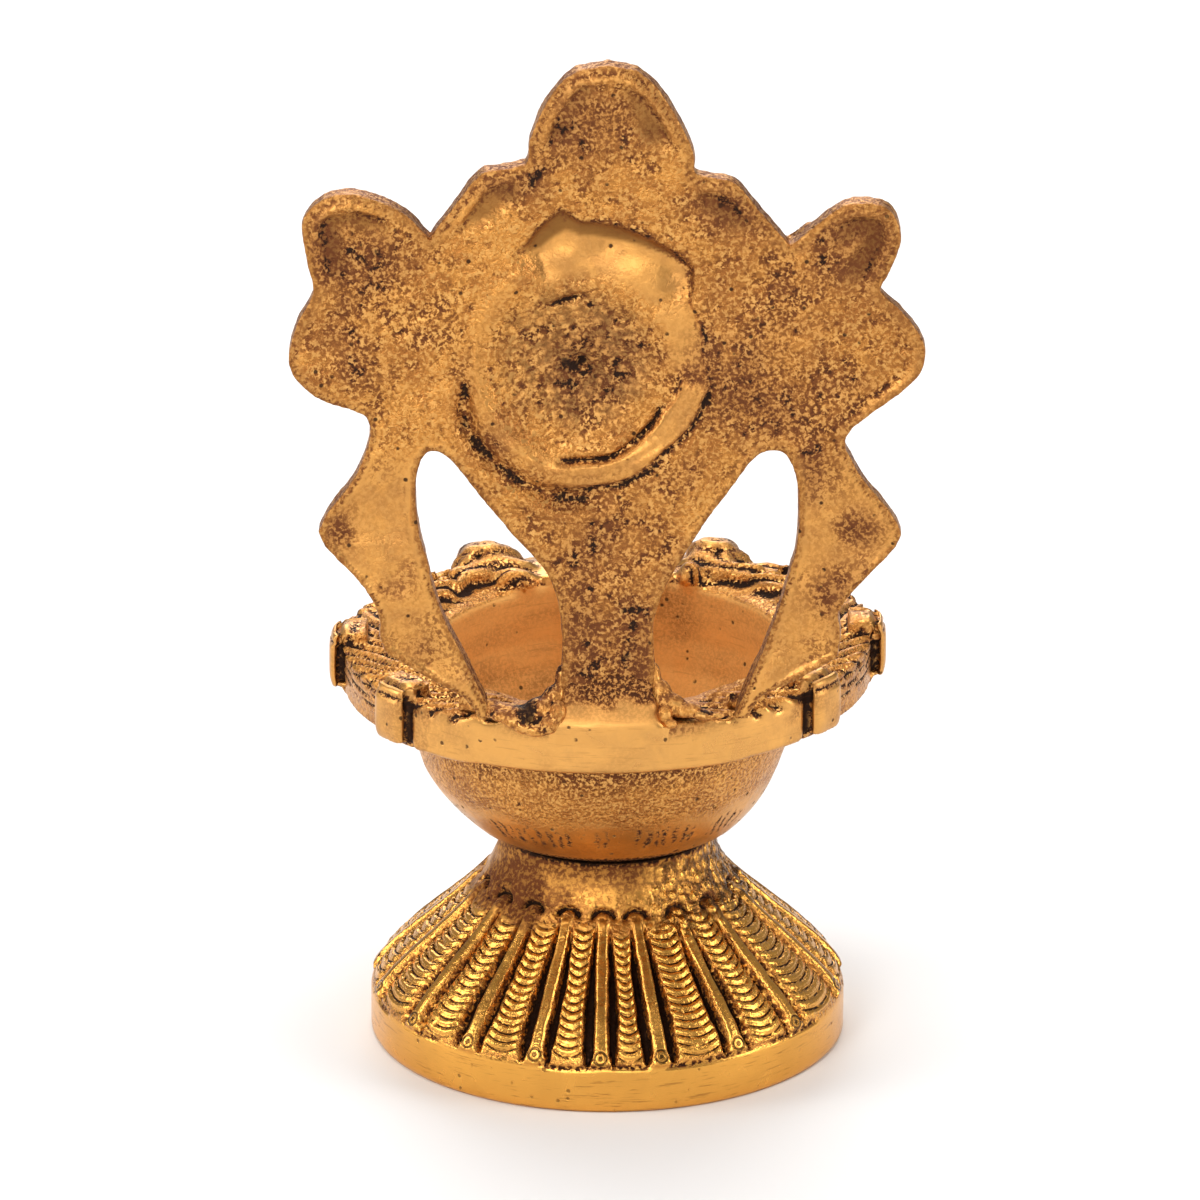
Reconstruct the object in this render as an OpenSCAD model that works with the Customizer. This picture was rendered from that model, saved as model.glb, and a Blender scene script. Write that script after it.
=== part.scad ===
// Standing oil lamp: a cast bowl and back plate that turn on a flared pedestal.
// Millimetres, +Z up. The origin is the centre of the foot, on the ground.
// The spout points to -Y, and the back plate stands on the +Y side of the rim.

/* [Pedestal] */
// Radius of the foot
foot_r = 27.5; // [26:0.1:28]
// Height of the plain band round the foot
foot_band_h = 5; // [4:0.1:6]
// Height of the pedestal, where the bowl sits
pedestal_h = 25; // [24:0.1:26]
// Radius of the neck at its top
neck_r = 12.5; // [11.5:0.1:13.5]
// Shape of the flare: smaller is hollower
flare_power = 0.8; // [0.7:0.01:0.9]
// Wall of the casting
pedestal_wall = 2.6; // [2.2:0.1:3]
// Thickness of the crown that the stud passes through
crown_t = 4.5; // [4:0.1:5]
// Number of ribs round the flare
rib_n = 18; // [12:1:20]
// Angle that one rib takes
rib_deg = 4; // [3:0.1:5]
// Angle of the groove on each side of a rib
groove_deg = 1.8; // [1.2:0.1:2.2]
// Depth of the grooves
groove_d = 0.8; // [0.5:0.1:1]
// Stacked crescents in each panel between two ribs
crescent_n = 8; // [5:1:9]
// Radius of the dot at the lower end of each rib
dot_r = 0.9; // [0.6:0.1:1.1]

/* [Bowl] */
// Outer radius of the cup
cup_r = 22.3; // [22:0.1:22.6]
// Wall of the cup
cup_wall = 2; // [1.8:0.1:2.3]
// Outer radius of the rim
rim_r = 31.1; // [30.8:0.1:31.4]
// Height of the band round the rim, bottom edge
band_z = 43; // [42.6:0.1:43.4]
// Height of the rim's flat top
rim_z = 48.8; // [48.6:0.1:49]
// Teeth along the outer edge of the rim
tooth_n = 72; // [48:12:96]
// Width of the clasps that stand on the rim
clasp_w = 5.8; // [5:0.1:6.5]
// Height of the clasps above the rim's top
clasp_rise = 1.7; // [1:0.1:2]
// Reach of the spout from the lamp's axis
spout_y = 37.5; // [36:0.5:39]
// Half width of the spout's channel where it leaves the cup
spout_root = 5.4; // [5:0.1:6]
// Radius of the scroll heads beside the spout
head_r = 4.2; // [3.6:0.1:4.4]

/* [Back plate] */
// Distance of the plate's back face from the axis
plate_y = 28.4; // [28.2:0.1:28.6]
// Thickness of the plate
plate_t = 3; // [2.6:0.1:3.2]
// Height of the relief on the front face
relief_t = 1; // [0.6:0.1:1.2]
// Centre of the wheel, across
disc_x = 0.2; // [0:0.1:1]
// Centre of the wheel and the dish, up
disc_z = 92; // [91.5:0.1:92.5]
// Radius of the wheel on the front face
wheel_r = 15.5; // [14.5:0.1:16]
// Spokes of the wheel
spoke_n = 8; // [6:1:12]
// Centre of the dish in the back face, across
dish_x = 2.2; // [1:0.1:2.6]
// Radius of the shallow dish in the back face
dish_r = 13.6; // [12.5:0.1:14]
// Depth of the dish
dish_d = 0.8; // [0.4:0.1:1]

/* [Fixing] */
// Radius of the stud
stud_r = 2.5; // [2.4:0.05:2.6]
// Radial clearance of the stud in the pedestal, where the bowl turns
turn_gap = 0.08; // [0.03:0.01:0.1]
// Height of the raised seat under the bowl
seat_h = 0.8; // [0.6:0.1:1]
// Radius of the raised seat
seat_r = 8.5; // [7.5:0.1:9.5]
// Thickness of the washer
washer_t = 1; // [0.8:0.1:1.2]
// Radius of the washer
washer_r = 5.5; // [5.2:0.1:6]
// Width of the nut across its flats
nut_af = 8; // [8:0.5:9]
// Height of the nut
nut_h = 4; // [3.5:0.1:4.5]

/* [Hidden] */
brass = [0.78, 0.55, 0.26];
bright = [0.86, 0.63, 0.31];
solder = [0.62, 0.45, 0.24];
eps = 0.01;
$fn = 96;
bore_r = stud_r + turn_gap;
flare_steps = 12;
flare_h = pedestal_h - foot_band_h;
crown_z = pedestal_h - crown_t;
pitch_deg = 360 / rib_n;
panel_deg = pitch_deg - rib_deg - 2 * groove_deg;
panel_top = 0.66;
floor_z = 31;
stud_top = 29;
stem_x = 5.2;
clasp_angles = [38, 0, -38];
plate_front = plate_y - plate_t;
disc_shift = [disc_x, disc_z];

// Half of the plate's outline on the +X side, from the top flame down to the foot.
edge_left = [
    [0, 125.4], [3.2, 124.9], [5.4, 123], [7.2, 120], [8.4, 116.8], [8.8, 114],
    [13.6, 113.2], [16, 110.4], [19, 106.4], [19.9, 105.2],
    [22, 107.6], [24.4, 109.3], [28.5, 110.6], [31.4, 110], [33.3, 108.2], [33.6, 106.4],
    [33.1, 102.8], [32.3, 99.4], [34.2, 96], [35.3, 92.4], [35, 89.8], [33.2, 87.8],
    [30.8, 86.4], [27.1, 85], [26.7, 82], [28.2, 78], [30.2, 75], [32.4, 71.2],
    [30.3, 67.9], [27.4, 64.6], [25.5, 60.6], [25, 56.8], [16.2, 51.4], [14.8, rim_z], [13, rim_z]
];
// The same on the -X side, from the foot up to the top flame.
edge_right = [
    [-14.2, rim_z], [-16, rim_z], [-17.4, 51.6], [-25.8, 56.3], [-25.9, 61.4], [-28.2, 65.1],
    [-31, 67.9], [-33, 70.8],
    [-31.4, 73.8], [-29, 76.6], [-27.2, 79.6], [-26.4, 82.2], [-29, 85],
    [-32.4, 87.8], [-34.6, 90], [-35.2, 92.2], [-34.4, 94.4], [-32.2, 97.2], [-29.8, 99.6],
    [-30.8, 101.8], [-32.2, 105.4], [-31.8, 108], [-30.2, 109.4], [-27.4, 109.6],
    [-25.4, 108.8], [-22.6, 106.4], [-20.4, 104.4], [-19.6, 105], [-17.4, 107.8],
    [-15.2, 110.6], [-13.6, 112.1], [-9.4, 112.9], [-9.2, 115], [-8.2, 117.8],
    [-6.8, 120.6], [-5, 123.2], [-3, 124.9]
];
// Inner edge of the +X opening, from the rim up its ribbon and down the stem.
gap_left = [
    [13, rim_z], [16.6, 56.4], [19.2, 62.4], [21, 69.4], [21.7, 74.5], [21.6, 78.4],
    [20.6, 80.8], [19, 81], [17.4, 79.6], [15, 76.5], [10.6, 70.8], [7.2, 67.2],
    [5.6, 63.4], [5, 58.4], [stem_x, 54], [stem_x, rim_z]
];
// The same for the -X opening, from the stem up and down its ribbon.
gap_right = [
    [-stem_x, rim_z], [-stem_x, 54], [-5, 60.4], [-7.2, 66.4], [-10.8, 72.4], [-12.6, 75],
    [-15, 78.2], [-17, 80.7], [-19.6, 81], [-20.8, 79.4], [-21.5, 76], [-21.4, 69.6],
    [-20.6, 66.4], [-17.8, 57.2], [-14.2, rim_z]
];

// Sets a midpoint on a smooth curve between each two points of an open line.
function refine(p) =
    [for (i = [0:len(p) - 2])
        each [p[i], (i == 0 || i == len(p) - 2) ? (p[i] + p[i + 1]) / 2
            : (9 * (p[i] + p[i + 1]) - p[i - 1] - p[i + 2]) / 16],
     p[len(p) - 1]];

// Radius of the flare at height share t, from the foot band (0) to the neck (1).
function flare(t) = neck_r + (foot_r - neck_r) * pow(cos(90 * pow(t, flare_power)), 2);

// Points up the flare, moved out by d.
function flare_pts(d, t0, t1, n) =
    [for (i = [0:n]) let (t = t0 + (t1 - t0) * i / n) [flare(t) + d, foot_band_h + flare_h * t]];

// A saw-toothed line up the flare, one tooth for each crescent.
function crescent_pts(n) =
    [for (i = [0:2 * n]) let (t = 0.04 + (panel_top - 0.04) * i / (2 * n))
        [flare(t) + (i % 2 == 0 ? -0.45 : 0.25), foot_band_h + flare_h * t]];

// A slice of the flare's skin from angle a, taking deg degrees.
module skin_slice(a, deg, pts) {
    rotate([0, 0, a])
    rotate_extrude(angle = deg)
    polygon(concat(
        pts,
        [[pts[len(pts) - 1][0] - 2, pts[len(pts) - 1][1]], [pts[0][0] - 2, pts[0][1]]]));
}

module pedestal_core() {
    rotate_extrude()
    polygon(concat(
        [[0, 0], [foot_r, 0], [foot_r, foot_band_h]],
        flare_pts(-groove_d, 0.015, 0.68, 9),
        flare_pts(0, 0.72, 1, 4),
        [[0, pedestal_h]]));
}

module pedestal_hollow() {
    rotate_extrude()
    polygon(concat(
        [[0, -1], [foot_r - pedestal_wall, -1], [foot_r - pedestal_wall, foot_band_h]],
        flare_pts(-groove_d - pedestal_wall, 0.08, 0.6, 6),
        [[neck_r - 3, crown_z], [0, crown_z]]));
}

module pedestal() {
    color(brass)
    difference() {
        union() {
            pedestal_core();
            for (i = [0:rib_n - 1])
                rotate([0, 0, (i + 0.5) * pitch_deg]) {
                    skin_slice(-rib_deg / 2, rib_deg, flare_pts(0.25, 0.004, 0.7, 7));
                    skin_slice(rib_deg / 2 + groove_deg, panel_deg, crescent_pts(crescent_n));
                    translate([flare(0.07) - 0.1, 0, foot_band_h + 0.07 * flare_h])
                    sphere(r = dot_r, $fn = 24);
                }
        }
        pedestal_hollow();
        translate([0, 0, crown_z - 1])
        cylinder(r = bore_r, h = crown_t + 2);
    }
}

module washer() {
    color(bright)
    difference() {
        translate([0, 0, crown_z - washer_t])
        cylinder(r = washer_r, h = washer_t);
        translate([0, 0, crown_z - washer_t - 1])
        cylinder(r = bore_r, h = washer_t + 2);
    }
}

module stud() {
    color(bright)
    translate([0, 0, crown_z - washer_t - nut_h - 1.5])
    cylinder(r = stud_r, h = stud_top - crown_z + washer_t + nut_h + 1.5);
}

module nut() {
    color(bright)
    difference() {
        translate([0, 0, crown_z - washer_t - nut_h])
        cylinder(r = nut_af / 2 / cos(30), h = nut_h, $fn = 6);
        translate([0, 0, crown_z - washer_t - nut_h - 1])
        cylinder(r = stud_r + 0.02, h = nut_h + 2);
    }
}

// Turned section of the cup, its seat and the overhanging rim.
module bowl_section() {
    polygon([
        [0, pedestal_h], [seat_r, pedestal_h], [seat_r, pedestal_h + seat_h],
        [14, pedestal_h + seat_h], [15.4, 26.6], [17.2, 28.4], [18.9, 30.6], [20.4, 33.4],
        [21.5, 36.6], [cup_r - 0.2, 40], [cup_r, band_z + 2],
        [24, band_z + 3.2], [27.4, band_z + 3.2], [28.9, band_z + 1.6], [29.3, band_z],
        [rim_r - 0.4, band_z], [rim_r, band_z + 0.4], [rim_r, rim_z - 0.5], [rim_r - 0.5, rim_z],
        [24.6, rim_z], [cup_r - cup_wall, rim_z - 1.4],
        [cup_r - cup_wall, 41], [19.6, 37.6], [18.2, 34.6], [15.8, 32.4], [12.6, floor_z + 0.2],
        [0, floor_z]
    ]);
}

// Plan of the spout, w wide each side at the cup and tip wide each side at its end.
module spout_plan(w, tip, y0, y1) {
    polygon([[-w, -y0], [w, -y0], [tip, -y1], [-tip, -y1]]);
}

// Side section of the spout between heights that rise towards its end, swept across.
module spout_side(z0, z1, y0, y1, top) {
    rotate([90, 0, 90])
    translate([0, 0, -12])
    linear_extrude(height = 24)
    polygon([[-y0, z0], [-y1, z1], [-y1, top], [-y0, top]]);
}

module spout_outside() {
    intersection() {
        translate([0, 0, 30])
        linear_extrude(height = rim_z - 30)
        spout_plan(spout_root + 4.6, 3.9, 19.4, spout_y);
        spout_side(36.5, 44.6, 19.4, spout_y, rim_z);
    }
}

module spout_channel() {
    intersection() {
        translate([0, 0, 30])
        linear_extrude(height = 30)
        spout_plan(spout_root, 2.3, 17, spout_y + 1);
        spout_side(38.6, 46.4, 17, spout_y + 1, rim_z + 10);
    }
}

// A clasp: a rounded block that wraps the rim's outer edge.
module clasp() {
    translate([rim_r - 3.2, -clasp_w / 2, band_z + 0.2])
    cube([4.2, clasp_w, rim_z + clasp_rise - band_z - 0.2]);
}

module bowl() {
    color(brass)
    difference() {
        union() {
            rotate_extrude()
            bowl_section();
            spout_outside();
            for (s = [-1, 1]) {
                for (a = clasp_angles)
                    rotate([0, 0, 90 + s * (90 - a)])
                    clasp();
                translate([s * 13.7, -25, rim_z - 0.6])
                sphere(r = head_r, $fn = 48);
            }
        }
        spout_channel();
        for (i = [0:tooth_n - 1])
            rotate([0, 0, (i + 0.5) * 360 / tooth_n])
            translate([rim_r - 1.6, -0.25, rim_z - 0.8])
            rotate([0, 0, 30])
            cube([3, 0.5, 0.9]);
        translate([0, 0, pedestal_h - 1])
        cylinder(r = stud_r + 0.02, h = stud_top - pedestal_h + 1);
    }
}

// Draws plate shapes in (x, z) and stands them up between two distances from the axis.
module upright(y0, y1) {
    translate([0, y1, 0])
    rotate([90, 0, 0])
    linear_extrude(height = y1 - y0)
    children();
}

module plate_outline() {
    polygon(concat(refine(edge_left), refine(gap_left), refine(gap_right), refine(edge_right)));
}

// A tongue of flame in relief, from p, with length l at angle a.
module flame(p, a, l, w) {
    translate(p)
    rotate([0, 0, a])
    polygon([[0, -w], [l * 0.5, -w * 0.9], [l, 0], [l * 0.5, w * 0.9], [0, w]]);
}

module wheel_relief() {
    difference() {
        circle(r = wheel_r);
        circle(r = wheel_r - 2.6);
    }
    circle(r = 4.4);
    for (i = [0:spoke_n - 1])
        rotate([0, 0, i * 360 / spoke_n])
        translate([3.8, -0.7])
        square([wheel_r - 5, 1.4]);
}

module back_plate() {
    color(brass)
    difference() {
        union() {
            upright(plate_front, plate_y)
            plate_outline();
            upright(plate_front - relief_t, plate_front + eps) {
                translate(disc_shift)
                wheel_relief();
                flame([0, 109], 90, 14, 5);
                flame([19, 99], 38, 15, 4.2);
                flame([-18, 98.5], 142, 15, 4.2);
                flame([20, 91], -2, 13, 3.6);
                flame([-19, 91.5], 182, 13, 3.6);
                flame([25, 80], -62, 9, 1.4);
                flame([-25, 80], 242, 9, 1.4);
                flame([27.6, 70], 236, 22, 1.6);
                flame([-28, 70], -56, 22, 1.6);
            }
        }
        translate([dish_x, plate_y + 1, disc_z])
        rotate([90, 0, 0])
        cylinder(r1 = dish_r + 0.6, r2 = dish_r - 0.8, h = 1 + dish_d);
    }
}

// Filed seam that closes the step between the stem's back face and the rim's outer face.
module braze_back() {
    color(bright)
    intersection() {
        cylinder(r = rim_r - 0.5, h = 60);
        rotate([90, 0, 90])
        translate([0, 0, -stem_x])
        linear_extrude(height = 2 * stem_x)
        polygon([[plate_y, rim_z], [rim_r, rim_z], [plate_y + 0.9, rim_z + 1.6], [plate_y, rim_z + 2]]);
    }
}

// A hollow fillet of braze in the corner between the rim and the stem's side.
module stem_fillet() {
    translate([stem_x, plate_front, rim_z])
    difference() {
        cube([4.2, plate_t, 3.6]);
        translate([4.2, -1, 3.6])
        rotate([-90, 0, 0])
        cylinder(r = 3.4, h = plate_t + 2);
    }
}

module braze_left() {
    color(solder)
    stem_fillet();
}

module braze_right() {
    color(solder)
    mirror([1, 0, 0])
    stem_fillet();
}

// A tack of braze in front of a ribbon's tip.
module ribbon_tack() {
    translate([12.6, plate_front - 1.8, rim_z])
    difference() {
        cube([4.4, 1.8, 1.8]);
        translate([-1, 0, 1.8])
        rotate([0, 90, 0])
        cylinder(r = 1.5, h = 7);
    }
}

module ribbon_braze_left() {
    color(solder)
    ribbon_tack();
}

module ribbon_braze_right() {
    color(solder)
    mirror([1, 0, 0])
    translate([1.2, 0, 0])
    ribbon_tack();
}

pedestal();
washer();
bowl();
back_plate();
stud();
nut();
braze_back();
braze_left();
braze_right();
ribbon_braze_left();
ribbon_braze_right();
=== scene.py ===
import math

import bpy
import numpy as np
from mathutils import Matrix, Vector


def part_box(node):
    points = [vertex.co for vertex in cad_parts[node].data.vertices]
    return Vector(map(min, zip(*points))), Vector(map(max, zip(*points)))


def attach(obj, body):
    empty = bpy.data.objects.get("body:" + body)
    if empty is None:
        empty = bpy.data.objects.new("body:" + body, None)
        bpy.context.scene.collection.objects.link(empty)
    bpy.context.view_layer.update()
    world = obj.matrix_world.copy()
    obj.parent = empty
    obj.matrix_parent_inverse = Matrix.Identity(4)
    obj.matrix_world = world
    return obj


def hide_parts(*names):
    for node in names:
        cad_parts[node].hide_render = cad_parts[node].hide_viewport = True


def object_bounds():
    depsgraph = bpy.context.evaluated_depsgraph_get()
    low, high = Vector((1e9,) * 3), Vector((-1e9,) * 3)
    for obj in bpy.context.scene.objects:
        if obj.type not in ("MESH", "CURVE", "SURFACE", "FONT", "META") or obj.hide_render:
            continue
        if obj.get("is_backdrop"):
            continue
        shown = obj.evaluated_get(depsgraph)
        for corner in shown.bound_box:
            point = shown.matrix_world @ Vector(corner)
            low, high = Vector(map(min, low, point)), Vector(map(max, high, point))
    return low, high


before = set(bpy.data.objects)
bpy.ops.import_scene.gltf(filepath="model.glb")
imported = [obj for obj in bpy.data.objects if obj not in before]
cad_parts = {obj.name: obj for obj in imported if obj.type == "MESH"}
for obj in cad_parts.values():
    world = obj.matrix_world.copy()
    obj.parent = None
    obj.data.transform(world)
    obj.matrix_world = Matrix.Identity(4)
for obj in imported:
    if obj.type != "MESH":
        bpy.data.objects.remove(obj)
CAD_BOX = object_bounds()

# Everything is worked out in millimetres and stored in metres.
# +Y is the plaque's back, which the photograph shows, and angles run from +Y towards +X.
MM = 0.001

# ---- number helpers
most, least = np.maximum, np.minimum


def unit(v):
    """v, held between 0 and 1."""
    return np.clip(v, 0, 1)


def ramp(a, b, x):
    """0 at a and 1 at b, smooth between them and held outside. a may be the larger."""
    t = unit((x - a) / (b - a))
    return t * t * (3 - 2 * t)


def bump(x, centre, width):
    """1 at the centre, falling off smoothly to both sides."""
    return np.exp(-(((x - centre) / width) ** 2))


def spot(a, b):
    """1 in the middle of an oval; a and b are distances from it in its own half widths."""
    return np.exp(-(a**2 + b**2))


def wave(x):
    """From 1 down to 0 and back for each whole step of x."""
    return 0.5 + 0.5 * np.cos(2 * np.pi * x)


def hashed(ix, iy, iz, seed):
    """A steady number from 0 to 1 for each place on a whole-number grid."""
    h = (ix.astype(np.int64) * 73856093) ^ (iy.astype(np.int64) * 19349663)
    h = h ^ (iz.astype(np.int64) * 83492791) ^ (seed * 2654435761)
    h = (h ^ (h >> 13)) * 1274126177 & 0xFFFFFFFF
    h = (h ^ (h >> 16)) * 2246822519 & 0xFFFFFFFF
    h = h ^ (h >> 15)
    return (h & 0xFFFFFF).astype(float) / float(0xFFFFFF)


def noise(p, size, seed):
    """Smooth noise from -1 to 1 with features of about size, in millimetres."""
    q = p / size
    i = np.floor(q)
    f = q - i
    f = f * f * (3 - 2 * f)
    i = i.astype(np.int64)
    total = np.zeros(p.shape[:-1])
    for corner in np.ndindex(2, 2, 2):
        share = 1
        for k, far in enumerate(corner):
            share = share * (f[..., k] if far else 1 - f[..., k])
        total += share * hashed(*(i[..., k] + corner[k] for k in range(3)), seed)
    return total * 2 - 1


def line_noise(t, size, seed):
    """The same noise along a line."""
    return noise(np.stack([t, t * 0, t * 0], -1), size, seed)


def fractal(p, size, octaves, seed, gain=0.55):
    """Layers of noise, each half the size and weaker by gain."""
    total = np.zeros(p.shape[:-1])
    amount = 1
    norm = 0
    for k in range(octaves):
        total += amount * noise(p + 37.7 * k, size / 2**k, seed + k)
        norm += amount
        amount *= gain
    return total / norm


def cell_noise(p, size, seed):
    """Distance to the nearest and second nearest of scattered points, in cells."""
    q = p / size
    i = np.floor(q).astype(np.int64)
    f = q - i
    near = np.full(p.shape[:-1], 9.0)
    second = near.copy()
    for corner in np.ndindex(3, 3, 3):
        place = [i[..., k] + corner[k] - 1 for k in range(3)]
        gaps = [
            corner[k] - 1 + hashed(*place, seed + shift) - f[..., k]
            for k, shift in enumerate((0, 11, 23))
        ]
        d = np.sqrt(sum(gap * gap for gap in gaps))
        second = least(second, most(near, d))
        near = least(near, d)
    return near, second


# ---- mesh helpers
def read(items, what, width, kind=np.float32):
    """One row of values for each item of a mesh's list."""
    values = np.zeros(len(items) * width, kind)
    items.foreach_get(what, values)
    return values.reshape(-1, width)


def coords(ob):
    return read(ob.data.vertices, "co", 3).astype(float) / MM


def normals(ob):
    return read(ob.data.vertices, "normal", 3).astype(float)


def set_coords(ob, p):
    ob.data.vertices.foreach_set("co", (p * MM).astype(np.float32).ravel())
    ob.data.update()


def link(name, data):
    ob = bpy.data.objects.new(name, data)
    bpy.context.scene.collection.objects.link(ob)
    return ob


def shade(ob, smooth):
    ob.data.polygons.foreach_set("use_smooth", np.full(len(ob.data.polygons), smooth))
    ob.data.update()


def new_mesh(name, points, faces):
    """An object from points in metres and the corners of each face."""
    me = bpy.data.meshes.new(name)
    me.from_pydata(points.tolist(), [], faces.tolist())
    me.validate()
    me.update()
    return link(name, me)


def grid_mesh(name, points, closed=True):
    """points is rows x columns x 3 in millimetres; closed joins each row's two ends."""
    rows, cols = points.shape[:2]
    here = np.arange(rows * cols).reshape(rows, cols)
    beside = np.roll(here, -1, axis=1)
    faces = np.stack([here[:-1], beside[:-1], beside[1:], here[1:]], -1)
    if not closed:
        faces = faces[:, :-1]
    ob = new_mesh(name, points.reshape(-1, 3) * MM, faces.reshape(-1, 4))
    shade(ob, True)
    return ob


def ring(radius, angle, z):
    """Points at one height, at a radius for each angle in radians."""
    return np.stack([radius * np.sin(angle), radius * np.cos(angle), np.full(len(angle), z)], -1)


def rings(profile, angle):
    """Points round the upright axis, from radii and heights."""
    return np.stack([ring(radius, angle, z) for radius, z in profile])


def full_turn(steps):
    return np.arange(steps) * 2 * np.pi / steps


def blob(x, y, z, rx, ry, rz, yaw=0):
    """A closed oval lump with half widths rx, ry and rz, turned by yaw degrees."""
    b = np.linspace(-np.pi / 2, np.pi / 2, 13)[:, None]
    a = np.arange(20) * np.pi / 10
    ex, ey = rx * np.cos(b) * np.cos(a), ry * np.cos(b) * np.sin(a)
    c, s = math.cos(math.radians(yaw)), math.sin(math.radians(yaw))
    ez = rz * np.sin(b) + 0 * a
    return grid_mesh("blob", np.stack([x + ex * c - ey * s, y + ex * s + ey * c, z + ez], -1))


def remeshed(name, node, blobs, voxel, smooth):
    """One closed skin round a copy of a CAD node and some lumps, as a casting has."""
    lumps = [blob(*b) for b in blobs]
    points, faces, base = [], [], 0
    for src in [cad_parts[node]] + lumps:
        me = src.data
        me.calc_loop_triangles()
        points.append(read(me.vertices, "co", 3))
        faces.append(read(me.loop_triangles, "vertices", 3, np.int32) + base)
        base += len(me.vertices)
    me = bpy.data.meshes.new(name + "_raw")
    me.from_pydata(np.vstack(points).tolist(), [], np.vstack(faces).tolist())
    me.update()
    raw = link(name + "_raw", me)
    skin = raw.modifiers.new("skin", "REMESH")
    skin.mode = "VOXEL"
    skin.voxel_size = voxel * MM
    raw.modifiers.new("soft", "SMOOTH").iterations = smooth
    deps = bpy.context.evaluated_depsgraph_get()
    baked = bpy.data.meshes.new_from_object(raw.evaluated_get(deps))
    for ob in [raw] + lumps:
        bpy.data.objects.remove(ob)
    baked.name = name
    out = link(name, baked)
    shade(out, True)
    return out


def cavity(ob, rounds=3):
    """How far each point lies below the average of its surroundings, in millimetres."""
    a, b = read(ob.data.edges, "vertices", 2, np.int32).T
    n = len(ob.data.vertices)
    count = most(np.bincount(a, minlength=n) + np.bincount(b, minlength=n), 1)
    p = coords(ob)
    q = p.copy()
    for _ in range(rounds):
        q = np.stack([
            (np.bincount(a, q[b, k], n) + np.bincount(b, q[a, k], n)) / count
            for k in range(3)
        ], -1)
    return ((q - p) * normals(ob)).sum(-1)


def outline_segments(node):
    """The outline of the plaque's back face: its sharp border, without the dish."""
    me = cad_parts[node].data
    co = read(me.vertices, "co", 3).astype(float) / MM
    back = co[:, 1].max() - 0.01
    seen = {}
    for poly in me.polygons:
        vs = list(poly.vertices)
        if min(co[v][1] for v in vs) < back:
            continue
        for a, b in zip(vs, vs[1:] + vs[:1]):
            key = tuple(sorted(tuple(np.round(co[v][[0, 2]], 3)) for v in (a, b)))
            seen[key] = seen.get(key, 0) + 1
    border = [s for s, n in seen.items() if n == 1]
    away = DISH_R + 1.2
    return np.array([s for s in border if math.hypot(s[0][0] - DISH_X, s[0][1] - DISH_Z) > away])


def edge_distance(x, z, segs):
    """Distance of each point from the outline, in millimetres."""
    best = np.full(len(x), 1e9)
    for (ax, az), (bx, bz) in segs:
        dx, dz = bx - ax, bz - az
        t = unit(((x - ax) * dx + (z - az) * dz) / (dx * dx + dz * dz + 1e-12))
        best = least(best, (x - ax - t * dx) ** 2 + (z - az - t * dz) ** 2)
    return np.sqrt(best)


def finish_piece(ob, mat, body, slot, node=None, **painted):
    """Stores what is painted on a piece, gives it its material, parents it to its body and hides the
    CAD node it takes the place of.
    """
    for name, values in painted.items():
        at = ob.data.attributes.new(name, "FLOAT", "POINT")
        at.data.foreach_set("value", np.asarray(values, np.float32))
    ob.data.materials.clear()
    ob.data.materials.append(mat)
    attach(ob, body)
    if node:
        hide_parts(node)


class Skin:
    """Points of a casting with their normals, how far each is raised, and its dirt, painted shade and
    wear.
    """

    def __init__(self, P, N):
        self.P, self.N = P, N
        self.x, self.y, self.z = np.moveaxis(P, -1, 0)
        self.h, self.dark, self.filed, self.stain = np.zeros((4,) + P.shape[:-1])

    # darkens points: dirt, and painted shade where a comment says so
    def dirt_and_shade(self, amount):
        self.dark = most(self.dark, amount)

    def wear(self, amount):
        self.filed = most(self.filed, amount)


# ---- sizes from the frame
LOW, HIGH = {}, {}
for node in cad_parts:
    low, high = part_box(node)
    LOW[node] = np.array(low) / MM
    HIGH[node] = np.array(high) / MM

PLATE_Y = HIGH["back_plate"][1]
PLATE_FRONT = PLATE_Y - 3
DISH_X, DISH_Z, DISH_R = 2.2, 92, 13.6          # the dish in the plaque's back
RIM_Z = LOW["back_plate"][2]
RIM_R = 31.1
BAND_Z = 43                                     # underside of the rim's band
CLASPS = (52, 90, 128)                          # angles of the clasps on each side
TILT = math.radians(1.3)                        # the bowl sits a little out of true
FOOT_R = HIGH["pedestal"][1]
BAND_H = 5                                      # the plain band round the foot
PED_H = HIGH["pedestal"][2]
CROWN_Z = PED_H - 4.5                           # underside of the pedestal's crown
NECK_R = 12.5
STUD_R, BORE_R, HOLE_R = 2.5, 2.55, 2.62        # stud, nut's bore, hole for the stud


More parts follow.
